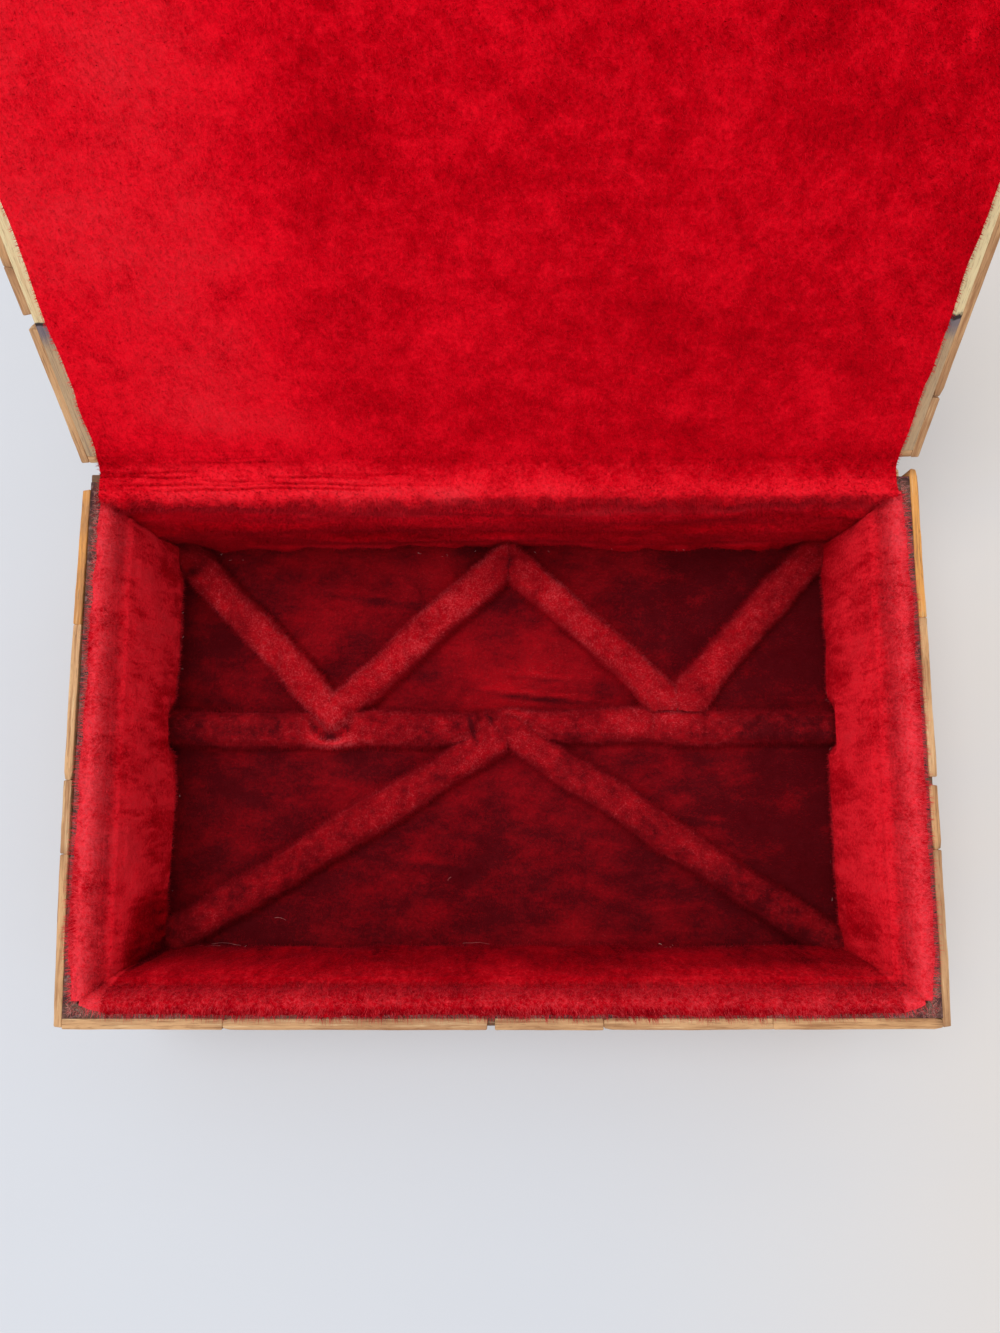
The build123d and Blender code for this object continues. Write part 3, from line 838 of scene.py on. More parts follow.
def end_press(points, ends):
    """How far the ends of dividers press on each point of a lining, from 0 to 1."""
    press = np.zeros(len(points))
    for name, at_end in ends:
        start, way, across, length = rib_frame(name)
        spot, way = (start + way * length, way) if at_end else (start, -way)
        ahead = (points[:, :2] - spot) @ way
        off = np.abs((points[:, :2] - spot) @ across)
        near = fade((RIB_HALF + 5.0 - off) / 6.5) * fade((ahead + 14) / 3)
        press = np.maximum(press, near * fade((FLOOR + RIB_HIGH + 4 - points[:, 2]) / 4))
    return press


def gap_to(ground, start, end):
    """Distance of each point on the floor from a divider's side, below 0 inside it."""
    start, end = np.array(start, float), np.array(end, float)
    run = end - start
    share = np.clip((ground - start) @ run / (run @ run), 0, 1)
    return np.linalg.norm(ground - start - np.outer(share, run), axis=1) - RIB_HALF


# Least height of a strip over its core
CLEAR = 6.9
# The dividers that lie over each half of the cross divider
OVER = {
    "cross_left": [
        (BACK_LEFT, V_LEFT),
        (V_LEFT, BACK_APEX),
        (V_LEFT, (-57.9, 9.4)),
        (FRONT_LEFT, FRONT_APEX),
    ],
    "cross_right": [(FRONT_APEX, FRONT_RIGHT)],
}
# Name: places along X, depth and width of the creases across it
CREASES = {
    "cross_left": (
        (-7.2, 0.3, 0.8),
        (-2.4, 0.16, 0.7),
        (-39, 0.06, 1.2),
        (-68.5, 0.1, 1.1),
        (-47, 0.09, 1.2),
    ),
    "cross_right": ((52, 0.12, 1.1), (70, 0.14, 1.0), (40, 0.06, 1.2), (88, 0.06, 1.2)),
    "zigzag_left_outer": ((-63.5, 0.08, 1.2),),
    "zigzag_left_inner": ((-50.5, 0.1, 1.2),),
}


def make_rib(name):
    """Plush strip over its core: a rounded section swept along the floor, its ends shaped."""
    start, way, across, length = rib_frame(name)
    planes, extra, roundness = RIBS[name][2:]
    total = length + sum(extra)
    piece, along, around = make_grid(name + "_plush", int(total / 0.8), 48)
    run = along * total - extra[0]
    arch = np.minimum(around / 0.8, 1) * math.pi
    sole = np.clip((around - 0.8) / 0.2, 0, 1)
    side = np.where(sole > 0, sole * 2 - 1, np.sign(np.cos(arch)) * np.abs(np.cos(arch)) ** 0.55)
    high = np.where(sole > 0, 0, np.abs(np.sin(arch)) ** 0.6)
    squeeze = np.ones(len(run))
    for gap, rounding in ((run + extra[0], roundness[0]), (total - run - extra[0], roundness[1])):
        squeeze *= 1 - rounding * (1 - np.sqrt(1 - (1 - np.clip(gap / RIB_HALF, 0, 1)) ** 2))
    width = RIB_HALF * (0.1 + 0.9 * squeeze)
    height = RIB_HIGH * (0.25 + 0.75 * squeeze**0.6)
    line, seed = xyz(run, 0, 0), 35 + len(name)
    drift = rough(line, (0.6, (22, 9, 9), seed), (0.25, (8, 9, 9), seed + 1))
    width = width * (1 + 0.07 * lumps(line, (13, 9, 9), seed + 2))
    for place, depth, wide in CREASES.get(name, ()):
        crease = bump(start[0] + run * way[0], place, wide)
        width = width * (1 - 0.5 * depth * crease)
        height = height * (1 - depth * crease)
    ground = start + np.outer(run, way)
    if "zigzag" in name:
        drift = drift - 2.6 * (1 - side) / 2 * hill(ground, V_RIGHT, 150)
    ground = ground + across * (side * width + drift)[:, None]
    for point, normal in planes:
        behind = np.minimum((ground - point) @ normal, 0)
        ground -= np.outer(behind / (way @ normal), way)
    tall = high * (height + RIB_SUNK)
    for strip in OVER.get(name, ()):
        gap = gap_to(ground, *strip)
        groove = 2.1 * bump(gap, 0.5, 0.9) + 3.2 * fade(-gap / 1.6)
        tall -= np.minimum(groove, np.maximum(tall - CLEAR, 0))
        ground[:, 1] -= 0.9 * bump(gap, 1.5, 3.0) * (side < 0) * (V_LEFT in strip)
    if "zigzag" in name:
        tall *= 1 + 0.42 * hill(ground, V_LEFT, 70)
    if "arrow" in name:
        tall *= 1 + 0.1 * hill(ground, FRONT_APEX, 90)
    set_points(piece, xyz(*ground.T, FLOOR - RIB_SUNK + tall))
    close_rib(piece)
    soften_rib(piece, 40 + sorted(RIBS).index(name) * 5)
    shade(piece, 80)
    return piece


def soften_rib(piece, seed):
    """Uneven stuffing."""
    points, normals = get_points(piece), get_normals(piece)
    lift = rough(points, (0.4, 12, seed), (0.24, 4.5, seed + 1), (0.1, 2, seed + 2))
    set_points(piece, points + normals * (lift * fade((points[:, 2] - FLOOR - 1) / 3))[:, None])


def close_rib(piece):
    """Sews the swept grid along its seam and closes both ends, with faces pointing outwards."""
    take(piece)
    bpy.ops.object.mode_set(mode="EDIT")
    bpy.ops.mesh.select_mode(type="VERT")
    bpy.ops.mesh.select_all(action="SELECT")
    bpy.ops.mesh.remove_doubles(threshold=0.02 * MM)
    bpy.ops.mesh.select_all(action="DESELECT")
    bpy.ops.mesh.select_non_manifold(extend=False)
    bpy.ops.mesh.edge_face_add()
    bpy.ops.mesh.select_all(action="SELECT")
    bpy.ops.mesh.normals_make_consistent(inside=False)
    bpy.ops.object.mode_set(mode="OBJECT")


# Middle, half length, half width and height of the low folds in the floor plush
FOLDS = (
    (8, 18.5, 13, 0.9, 1.5),
    (17, 24.5, 10, 0.8, 0.9),
    (24, 17.0, 8, 0.8, 1.0),
    (-88, 40, 9, 1.0, 0.7),
    (-42, 53, 16, 1.5, 0.7),
    (70, -25, 14, 1.2, 0.5),
    (-20, -40, 22, 1.6, 0.5),
)


def fold(points, x, y, wide, deep, high, below=0.0):
    """Height of one fold, or of a band as much below it as the argument says."""
    bend = 0.12 * (points[:, 0] - x) + below
    return high * bump(points[:, 0], x, wide) * bump(points[:, 1] + bend, y, deep)


def make_floor_plush():
    """Plush on the floor: nearly flat, with a few low folds."""
    piece, across, along = make_grid("floor_plush", 176, 110)
    points = xyz((across * 2 - 1) * (INNER_X - 0.4), (along * 2 - 1) * (INNER_Y - 0.4), FLOOR)
    lift = rough(points, (0.3, (24, 20, 20), 31), (0.16, (8, 6, 6), 32))
    lift += sum(fold(points, *numbers) for numbers in FOLDS)
    points[:, 2] += lift * fade((INNER_Y - np.abs(points[:, 1])) / 6) - 0.15
    set_points(piece, points)
    thicken(piece, FLOOR_THICK)
    shade(piece)
    return piece


# Padded wall linings


def wall_axes(side):
    """Ways along a wall and into the box, half the wall's length and how far off its card is."""
    inward = np.array({"front": (0, 1), "left": (1, 0), "right": (-1, 0)}[side], float)
    reach = (INNER_X - 1.0, INNER_Y - 1.0) if side == "front" else (TRAY_Y + 1.0, INNER_X - 1.0)
    return -left_of(inward), inward, *reach


# Wall pads: first thickness, the most that they swell, how much larger they are simulated, and frames
PAD_THICK = 3.1
PAD_SWELL = 1.3
PAD_GROWN = 40.0
PAD_FRAMES = 20
# First seed of each wall's random fields
SIDE_SEED = {"front": 60, "left": 70, "right": 80}


def make_wall_pad(side):
    """Padded plush on one wall: a thin block that cloth simulation swells."""
    along, inward, half, back = wall_axes(side)
    height = LINING_TOP - FLOOR
    size = (2 * half - 0.6, PAD_THICK, height - 0.4)
    piece = make_block(side + "_wall_plush", size)
    in_edit(piece, bpy.ops.mesh.bevel, offset=1.0 * MM, segments=3)
    apply_modifier(piece, "REMESH", mode="VOXEL", voxel_size=1.45 * MM)
    swell(piece)
    apply_modifier(piece, "SUBSURF", levels=1, render_levels=1)
    local = get_points(piece)
    crown = 0.9 * np.cos(np.clip(local[:, 0] / size[0], -0.5, 0.5) * math.pi) ** 0.35
    crown *= np.cos(np.clip(local[:, 2] / size[2], -0.5, 0.5) * math.pi) ** 0.6
    local[:, 1] += crown * fade(local[:, 1] / PAD_THICK + 0.5)
    depth = local[:, 1] + PAD_THICK / 2
    ground = along * local[:, :1] + inward * (depth[:, None] - back)
    points = xyz(*ground.T, local[:, 2] + FLOOR + height / 2)
    set_points(piece, shape_wall_pad(side, points, inward, back))
    shade(piece, 80)
    catch_light(piece)
    return piece


def swell(piece):
    """Blows up a pad that is held along its back. It is simulated many times its size."""
    before = get_points(piece)
    held = piece.vertex_groups.new(name="held")
    held.add([int(n) for n in np.flatnonzero(before[:, 1] < 0.3 - PAD_THICK / 2)], 1.0, "REPLACE")
    set_points(piece, before * PAD_GROWN)
    take(piece)
    cloth = piece.modifiers.new("Cloth", "CLOTH")
    settings = cloth.settings
    settings.vertex_group_mass = "held"
    settings.mass = 0.25
    settings.tension_stiffness = 12
    settings.compression_stiffness = 12
    settings.shear_stiffness = 4
    settings.use_pressure = True
    settings.uniform_pressure_force = 6.0
    settings.effector_weights.gravity = 0
    cloth.point_cache.frame_start = 1
    cloth.point_cache.frame_end = PAD_FRAMES
    scene = bpy.context.scene
    for number in range(1, PAD_FRAMES + 1):
        scene.frame_set(number)
    bpy.ops.object.modifier_apply(modifier=cloth.name)
    scene.frame_set(1)
    moved = get_points(piece) / PAD_GROWN - before
    far = np.linalg.norm(moved, axis=1, keepdims=True)
    moved *= np.minimum(1, PAD_SWELL / np.maximum(far, 1e-9))
    moved[:, 1] = np.maximum(moved[:, 1], -0.1)
    set_points(piece, before + moved)
    piece.vertex_groups.clear()


def shape_wall_pad(side, points, inward, back):
    """Soft hollows, pressed places at the dividers' ends and the rolled upper edge."""
    seed = SIDE_SEED[side]
    flat = np.array((*inward, 0.0))
    deep = points @ flat + back
    face = fade((deep - 1.2) / 1.5)
    shift = rough(points, (0.6, (17, 17, 15), seed), (0.4, (7, 7, 8), seed + 1), (0.1, 2.5, seed + 2))
    height = (points[:, 2] - FLOOR) / (LINING_TOP - FLOOR)
    shift += 1.9 * (1 - height) - 0.5
    points = points + np.outer(shift * face, flat)
    press = end_press(points, BAR_ENDS)
    deep = points @ flat + back
    points = points - np.outer(press * np.maximum(deep - 2.3, 0), flat)
    deep = points @ flat + back
    under = roll_depth(points[:, 2]) + 0.6 - 1.5 * fade((points[:, 2] - RIM + 9.4) / 3.5)
    over = np.maximum(deep - under, 0) * fade((points[:, 2] - RIM + 14) / 3.5)
    points = points - np.outer(over, flat)
    deep = points @ flat + back
    points = points + np.outer(np.maximum(0.05 - deep, 0), flat)
    points[:, 2] = np.clip(points[:, 2], FLOOR + 0.05, LINING_TOP + 0.35)
    return points


# Places along the wall and how far the plush laps over the rim there, in millimetres
RIM_LAP = {
    "front": (
        (-118, -115.5, -110, -60, 0, 60, 112, 116, 118),
        (0.3, 1.2, 2.6, 3.2, 3.1, 3.3, 3.0, 1.4, 0.3),
    ),
    "left": ((-72, -60, -20, 20, 60, 70), (0.6, 1.1, 2.0, 2.7, 3.1, 1.6)),
    "right": ((-70, -60, 0, 40, 72), (1.4, 2.8, 2.9, 2.5, 1.4)),
}
# The plush turns over the rim along an ellipse so deep and so high, then laps over the wood
ROLL_DEEP = 3.7
ROLL_HIGH = 10.0
# How high it lies on the rim, and the share of its strip that turns
PLUSH_RISE = 0.42
RIM_SHARE = 0.78


def roll_depth(height):
    """How far the plush that turns over the rim stands from the wall at a height."""
    share = np.clip((height - RIM - PLUSH_RISE + ROLL_HIGH) / ROLL_HIGH, 0, 1)
    return ROLL_DEEP * np.sqrt(1 - share**2)


def catch_light(piece):
    """Turns the shading of a lining towards the opening, as the tips of its pile would catch light."""
    normals = get_normals(piece)
    soft = unit(normals + np.outer(0.9 * fade(normals[:, 2] + 0.8), (0, 0, 1)))
    piece.data.normals_split_custom_set_from_vertices(soft)


def make_rim_plush(side):
    """Edge of a wall's plush, turned over the rim and ragged where it ends."""
    along, inward = wall_axes(side)[:2]
    wall = INNER_Y if side == "front" else INNER_X
    half = (INNER_X if side == "front" else INNER_Y) - 0.8
    piece, share, across = make_grid(side + "_rim_plush", int(half / 0.45), 26)
    run = (share - 0.5) * 2 * half
    line, seed = xyz(run, 0, 0), SIDE_SEED[side] + 101
    lap = np.interp(run, *RIM_LAP[side])
    lap = lap + 0.4 * lumps(line, (6, 9, 9), seed) + 0.25 * lumps(line, (1.6, 9, 9), seed + 1)
    lap = np.maximum(lap, 0.25)
    turn = np.clip(across / RIM_SHARE, 0, 1) * math.pi / 2
    past = np.clip((across - RIM_SHARE) / (1 - RIM_SHARE), 0, 1)
    deep = ROLL_DEEP * np.cos(turn) - past * lap
    height = RIM + PLUSH_RISE - ROLL_HIGH * (1 - np.sin(turn)) + 0.1 * np.sqrt(1 - past**2)
    height += 0.2 * lumps(xyz(run, deep, 0), (7, 4, 4), seed + 2) * fade((deep + lap) / 2)
    ground = np.outer(run, along) + np.outer(deep - wall, inward)
    set_points(piece, xyz(*ground.T, height))
    if get_normals(piece)[past > 0, 2].mean() < 0:
        in_edit(piece, bpy.ops.mesh.flip_normals)
    thicken(piece, RIM_THICK)
    shade(piece, 80)
    return piece


def past_rim(points):
    """How far points lie beyond the inner faces of the walls, in millimetres."""
    return np.maximum(np.abs(points[:, 0]) - INNER_X, np.abs(points[:, 1]) - INNER_Y)


def rim_length(points):
    """The pile is longer where it hangs over the rim."""
    return 0.78 + 0.5 * fade((past_rim(points) + 0.3) / 1.8)


def pad_length(points):
    """The pile of the walls is longest at their feet."""
    return 0.62 + 0.3 * fade((FLOOR + 9 - points[:, 2]) / 7)


def lid_length(points):
    """The pile is longest where the plush turns over the rim."""
    return 0.66 + 0.95 * bump(points[:, 1], TRAY_Y, 2.5) * bump(points[:, 2], RIM - 1, 5)


# Naps: which way the pile leans


def swirl(points, size, seed, strength):
    """Random lean over the ground that changes slowly from place to place."""
    angle = lumps(points, size, seed) * 3.2
    return xyz(np.cos(angle), np.sin(angle), 0) * strength


def floor_nap(points):
    return swirl(points, 22, 91, 0.4) + np.array((0.25, -0.1, 0))


def rib_nap(points):
    return swirl(points, 12, 92, 0.3) + np.array((0, -0.15, -0.2))


def rib_length(points):
    """The pile is longest low on the sides, where it hides the edge of a strip."""
    return 0.72 + 0.4 * fade((FLOOR + 5.5 - points[:, 2]) / 3)


def floor_length(points):
    """The pile of the floor is short and even."""
    return np.full(len(points), 0.6)


def outward_way(points):
    """Unit ways from the middle towards the nearest wall."""
    beside_wall = np.abs(points[:, 0]) - INNER_X > np.abs(points[:, 1]) - INNER_Y
    return np.where(beside_wall[:, None], np.sign(points) * (1, 0, 0), np.sign(points) * (0, 1, 0))


def wall_nap(points):
    """Up the wall, and outwards over the rim where the lining ends."""
    top = fade((points[:, 2] - RIM + 4) / 4)[:, None]
    over = top * (0.6 + 1.3 * fade((past_rim(points) - 0.3) / 1.2)[:, None])
    return np.array((0, 0, 0.9)) * (1 - top) + outward_way(points) * over + swirl(points, 14, 93, 0.45)


def lid_nap(points):
    """Down the lid towards the hinge, and up the back wall to the rim."""
    down = np.array((0, math.cos(LID_TURN), -math.sin(LID_TURN)))
    behind = fade((points[:, 2] - RIM - 2) / 5)[:, None]
    return down * 0.3 * behind + (1 - behind) * np.array((0, -0.1, 1.0)) + swirl(points, 26, 94, 0.25)


# Painted light and shade: how much lighter or darker the plush is painted from place to place


def lid_painted_light(points):
    """Painted light and shade: lighter at the left and over the rim, painted shade in the wrinkles and
    down the back wall.
    """
    x, y, z = points.T
    up_lid = fade((z - RIM - 3) / 12)
    rim = bump(y, TRAY_Y + 2.5, 4.5) * fade((z - RIM + 6) / 5)
    glow = 0.22 * fade((-x - 25) / 60) * up_lid + 0.22 * rim
    glow += 0.28 * bump(x, 95, 22) * fade((RIM + 30 - z) / 30) * up_lid
    below = fade((RIM - 2 - z) / 6)
    uneven = 0.8 + rough(points, (0.5, (16, 60, 60), 212), (0.4, (3, 60, 60), 213))
    glow += 0.3 * fade((z - RIM + 17) / 14) * below * uneven
    folds = rough(points, (1, (46, 40, 8), 209), (0.6, (24, 40, 4.5), 210))
    glow -= below * (0.3 * fade((RIM - 14 - z) / 26) - 0.2 * folds) - 0.1 * below
    # Painted shade in the wrinkles over the hinge.
    glow -= 0.45 * hinge_wrinkles(points) - 0.08 * bump(y, TRAY_Y + 8, 5) * fade((-x - 5) / 50)
    glow += 0.3 * bump(z, FLOOR + 4.5, 3.5) * (0.7 + 0.9 * lumps(points, (7, 60, 60), 214)) * below
    return glow + rough(points, (0.1, (40, 30, 30), 201), (0.06, (14, 8, 8), 202))


def wall_painted_light(points):
    """Painted light and shade, mottled: brightest in the upper half, darker at the front and towards the
    floor; painted shade in the front corners and on the plush over the rim.
    """
    x, y, z = points.T
    height = (z - FLOOR) / (RIM - FLOOR)
    front = (y < 8 - TRAY_Y) * (np.abs(x) < TRAY_X - 4)
    right = (x > TRAY_X - 8) * (1 - front)
    left = (x < 8 - TRAY_X) * (1 - front)
    glow = 0.22 * height - 0.04 + 0.05 * bump(height, 0.5, 0.25) * (1 - front)
    mottle = rough(points, (0.24, (10, 10, 24), 203), (0.2, (4.5, 4.5, 14), 204))
    mottle += 0.2 * lumps(points, (1.3, 1.3, 5), 211)
    glow += mottle * (1 - 0.75 * front - 0.4 * right) + 0.12 * left + 0.03 * right
    # Painted shade on the plush over the rim and in the front corners, deepest at the left.
    glow -= 0.24 * fade((past_rim(points) - 0.2) / 2.2)
    corner = fade((-y - 36) / 26) * fade((RIM - 9 - z) / 20)
    glow -= 0.55 * corner * (x < 6 - TRAY_X) + 0.16 * corner
    return glow - 0.29 * front


def floor_painted_light(points):
    """Painted light and shade: lighter in the middle, dark by the walls and right beside the dividers,
    each fold lit on top with a band of painted shade beside it.
    """
    x, y, _ = points.T
    glow = 0.16 * bump(x, 5, 42) * bump(y, 28, 24) + 0.08 * bump(x, -45, 40) * bump(y, 52, 16)
    glow -= 0.07 * fade((x - 40) / 40) + 0.05 * fade((np.abs(x) - 60) / 30)
    # Painted light on each fold, and a band of painted shade beside it.
    glow += sum(0.12 * fold(points, *numbers) - 0.26 * fold(points, *numbers, 1.7) for numbers in FOLDS)
    return glow + rough(points, (0.1, (26, 18, 18), 205), (0.07, (12, 5, 5), 206))


def rib_painted_light(points):
    """Painted light and shade: lighter on top and in the middle of the box, brightest at the left point
    of the zigzag, with painted shade in the creases.
    """
    x, y, z = points.T
    glow = 0.12 * fade((z - FLOOR - 2) / 4) - 0.12 * fade((np.abs(x) - 55) / 55)
    glow += 0.06 * fade((y - 5) / 40) * (np.abs(x) < 75) - 0.08 * fade((6 - y) / 50)
    glow -= 0.1 * fade((x - 8) / 20) * (y < 4)
    glow += 0.2 * bump(x, 58, 9) * bump(y, 8.5, 2.5) + 0.16 * bump(x, -58, 7) * bump(y, 1, 2)
    lump = np.hypot(x + 58, y - 9.5)
    below_lump = fade((7.5 - y) / 3)
    # Painted light on the lump, painted shade in the crease round it, and a painted highlight band
    # beyond.
    glow += 0.06 * fade(5.6 - lump) - 1.3 * bump(lump, 6.4, 1.1) * below_lump
    glow += 0.22 * bump(lump, 8.9, 2.1) * below_lump
    glow -= 0.25 * bump(x, BACK_APEX[0], 1.0) * (y > BACK_APEX[1] - 5)
    glow -= 0.45 * bump(x + 0.3 * (y - 5.4), -9.7, 0.8) * bump(y, 5, 5)
    glow -= 0.35 * bump(x + 0.6 * (y - 8.8), -3.6, 0.7) * bump(y, 8.8, 3)
    outer = 0.35 + 0.65 * fade((np.abs(x - 8) - 50) / 25)
    glow -= 0.17 * bump(y, BAR_Y, 7) * outer + 0.05 * (y < 13)
    glow += 0.22 * hill(points[:, :2], V_LEFT, 50)
    return glow + rough(points, (0.08, 2.5, 215), (0.08, 9, 207), (0.04, 4, 208))


# How the pile of each plush grows, as grow_pile takes it
LID_PILE = {
    "nap": lid_nap,
    "longer": lid_length,
    "denser": 1.15,
    "finer": 0.95,
    "spread": 0.3,
    "glow": lid_painted_light,
    "stand": 0.5,
}
PAD_PILE = {
    "nap": wall_nap,
    "longer": pad_length,
    "denser": 1.15,
    "finer": 0.75,
    "spread": 0.4,
    "glow": wall_painted_light,
    "stand": 2,
}
RIM_PILE = {
    "nap": wall_nap,
    "longer": rim_length,
    "denser": 1.5,
    "finer": 0.8,
    "spread": 0.6,
    "glow": wall_painted_light,
}
FLOOR_PILE = {
    "nap": floor_nap,
    "longer": floor_length,
    "denser": 0.95,
    "finer": 0.95,
    "spread": 0.34,
    "glow": floor_painted_light,
}
RIB_PILE = {
    "nap": rib_nap,
    "longer": rib_length,
    "denser": 1.5,
    "finer": 0.9,
    "spread": 0.5,
    "glow": rib_painted_light,
}


# Lint and stray threads


def fluff(name, root, bearing, seed, longest):
    """Fine short hairs that lie on a surface, each along its own bearing round Z."""
    chance = np.random.default_rng(seed)
    count = len(root)
    angle = bearing + chance.normal(0, 0.9, count)
    way = xyz(np.cos(angle), np.sin(angle), chance.uniform(0.02, 0.25, count))
    across = xyz(-np.sin(angle), np.cos(angle), 0) * chance.uniform(0.035, 0.075, (count, 1))
    tip = root + way * chance.uniform(0.3, 1, (count, 1)) * longest
    piece = triangles_piece(name, np.stack([root - across, root + across, tip], 1).reshape(-1, 3))
    set_attribute(piece, "tone", np.repeat(chance.uniform(0, 1, count), 3))
    lay_out_triangles(piece)
    return piece


def make_rim_lint():
    """Pale fluff that clings to the bare rim along the edge of the plush."""
    chance = np.random.default_rng(401)
    count = 7000
    side = chance.integers(0, 4, count)
    lap = np.array((2.2, 2.2, 1.6, 1.6))[side]
    out = lap + chance.normal(-0.1, 0.7, count)
    run = chance.uniform(-1, 1, count)
    sideways = np.where(side == 2, 1, -1)
    front = side < 2
    x = np.where(front, run * (INNER_X + 2.5), sideways * (INNER_X + out))
    y = np.where(front, -INNER_Y - out, run * (INNER_Y + 2.5))
    kept = (out < 3.5) & (out > 0.9)
    root = xyz(x, y, RIM + 0.06)[kept]
    bearing = np.where(front, -math.pi / 2, np.where(side == 2, 0, math.pi))[kept]
    return fluff("rim_lint", root, bearing, 402, 1.9)


def make_foot_lint():
    """Pale specks caught along the feet of the walls and beside the dividers."""
    chance = np.random.default_rng(403)
    count = 230
    share = chance.uniform(-1, 1, count)
    side = chance.choice(4, count, p=(0.34, 0.3, 0.12, 0.24))
    off = np.abs(chance.normal(0, 1.3, count)) + 4.6
    x = np.choose(side, [INNER_X - off, off - INNER_X, share * INNER_X, share * INNER_X])
    y = np.choose(side, [share * INNER_Y, share * INNER_Y, INNER_Y - off, off - INNER_Y])
    patchy = lumps(xyz(x, y, 0), (14, 14, 9), 404) + chance.uniform(-0.6, 0.6, count) > 0.1
    root = xyz(x, y, FLOOR + 1.0 + chance.uniform(0, 1.4, count))[patchy]
    return fluff("foot_lint", root, chance.uniform(-3, 3, len(root)), 405, 1.5)


THREAD_RADIUS = 0.055
# Start, end and sag of stray threads, in millimetres
THREADS = (
    ((-117.2, -66.6, FLOOR + 1.2), (-104.5, -66.2, FLOOR + 1.4), 0.7),
    ((-104.5, -66.2, FLOOR + 1.4), (-95.0, -66.8, FLOOR + 1.3), -0.6),
    ((-98.0, -66.4, FLOOR + 1.3), (-88.0, -66.9, FLOOR + 1.2), 0.5),
    ((-77.0, -58.1, FLOOR + 1.0), (-73.2, -58.9, FLOOR + 1.0), 0.6),
    ((-13.1, -66.5, FLOOR + 1.2), (-4.0, -66.7, FLOOR + 1.2), 0.4),
    ((-18.4, -45.6, FLOOR + 1.0), (-17.2, -44.4, FLOOR + 1.0), 0.2),
    ((110.9, -63.0, FLOOR + 2.0), (115.6, -65.0, FLOOR + 2.2), 0.8),
    ((-115.2, -8.0, FLOOR + 1.0), (-114.4, -22.0, FLOOR + 1.0), 0.7),
    ((-114.2, -28.0, FLOOR + 1.0), (-113.6, -41.0, FLOOR + 1.0), -0.6),
    ((118.4, 75.4, RIM + 0.07), (122.2, 77.2, RIM + 0.07), 0.7),
    ((-103.8, -73.2, 47.5), (-101.2, -71.2, 44.0), 0.5),
)


def make_threads():
    """Thin threads and hairs left in the corners."""
    pieces = []
    for number, (start, end, sag) in enumerate(THREADS):
        piece, along, around = make_grid("thread", 16, 4)
        run = np.subtract(end, start)
        bend = np.array((-run[1], run[0], 0)) / np.linalg.norm(run)
        line = start + np.outer(along, run) + np.outer(np.sin(along * math.pi) * sag, bend)
        line += np.outer(0.25 * lumps(line, (2.5, 2.5, 9), 410 + number), bend)
        turn = around * 2 * math.pi
        line += THREAD_RADIUS * (np.outer(np.cos(turn), bend) + np.outer(np.sin(turn), (0, 0, 1)))
        set_points(piece, line)
        pieces.append(piece)
    threads = joined(pieces, "stray_threads")
    in_edit(threads, bpy.ops.mesh.remove_doubles, threshold=0.002 * MM)
    in_edit(threads, bpy.ops.mesh.normals_make_consistent, inside=False)
    shade(threads, 80)
    return threads


def lint_material(name, pale, dark):
    recipe = Recipe(name)
    fleck = recipe.noise(recipe.place(), 700, 2, 0.6)
    tone = recipe.attribute("tone")
    colour = recipe.mix(recipe.smooth(tone * 0.6 + fleck, 0.5, 0.9), dark, pale)
    return recipe.finish(colour, 0.9, sheen_weight=0.3, specular_ior_level=0.1)


# Wooden slats


def solid_boxes(node, shut=False):
    """Lowest and highest corner of each solid of a CAD node, in millimetres. Shut turns the lid down."""
    copy = copied(frame["nodes"][node])
    for key in list(copy.keys()):
        del copy[key]
    copy.parent = None
    in_edit(copy, bpy.ops.mesh.remove_doubles, threshold=0.01 * MM)
    in_edit(copy, bpy.ops.mesh.separate, type="LOOSE")
    boxes = []
    for part in list(bpy.context.selected_objects):
        points = get_points(part)
        if shut:
            points = swung_shut(points)
        boxes.append((points.min(0), points.max(0)))
        bpy.data.objects.remove(part)
    return sorted(boxes, key=lambda box: tuple(np.round(box[0], 2)))


# The pattern slat: its length, thickness and height, and how much of each end isn't stretched
SLAT = (46.0, 2.4, 12.1)
END_RUN = 2.5


def make_pattern_slat():
    """One worn slat, standing on edge along X: rounded ends and edges, cut into short rings."""
    piece = make_block("pattern_slat", SLAT)
    half, top = SLAT[0] / 2, SLAT[2] / 2
    bevel, subdivide = bpy.ops.mesh.bevel, bpy.ops.mesh.subdivide

    def at_end(middle, way):
        return abs(way[2]) > 1 and abs(middle[0]) > half - 0.1

    on_edges(piece, at_end, bevel, offset=0.4 * MM, segments=3)
    on_edges(piece, lambda middle, way: abs(middle[2]) > top - 0.05, bevel, offset=0.28 * MM, segments=2)
    on_edges(piece, lambda middle, way: abs(way[0]) > half, subdivide, number_cuts=23)
    on_edges(piece, lambda middle, way: abs(way[2]) > top, subdivide, number_cuts=3)
    return piece


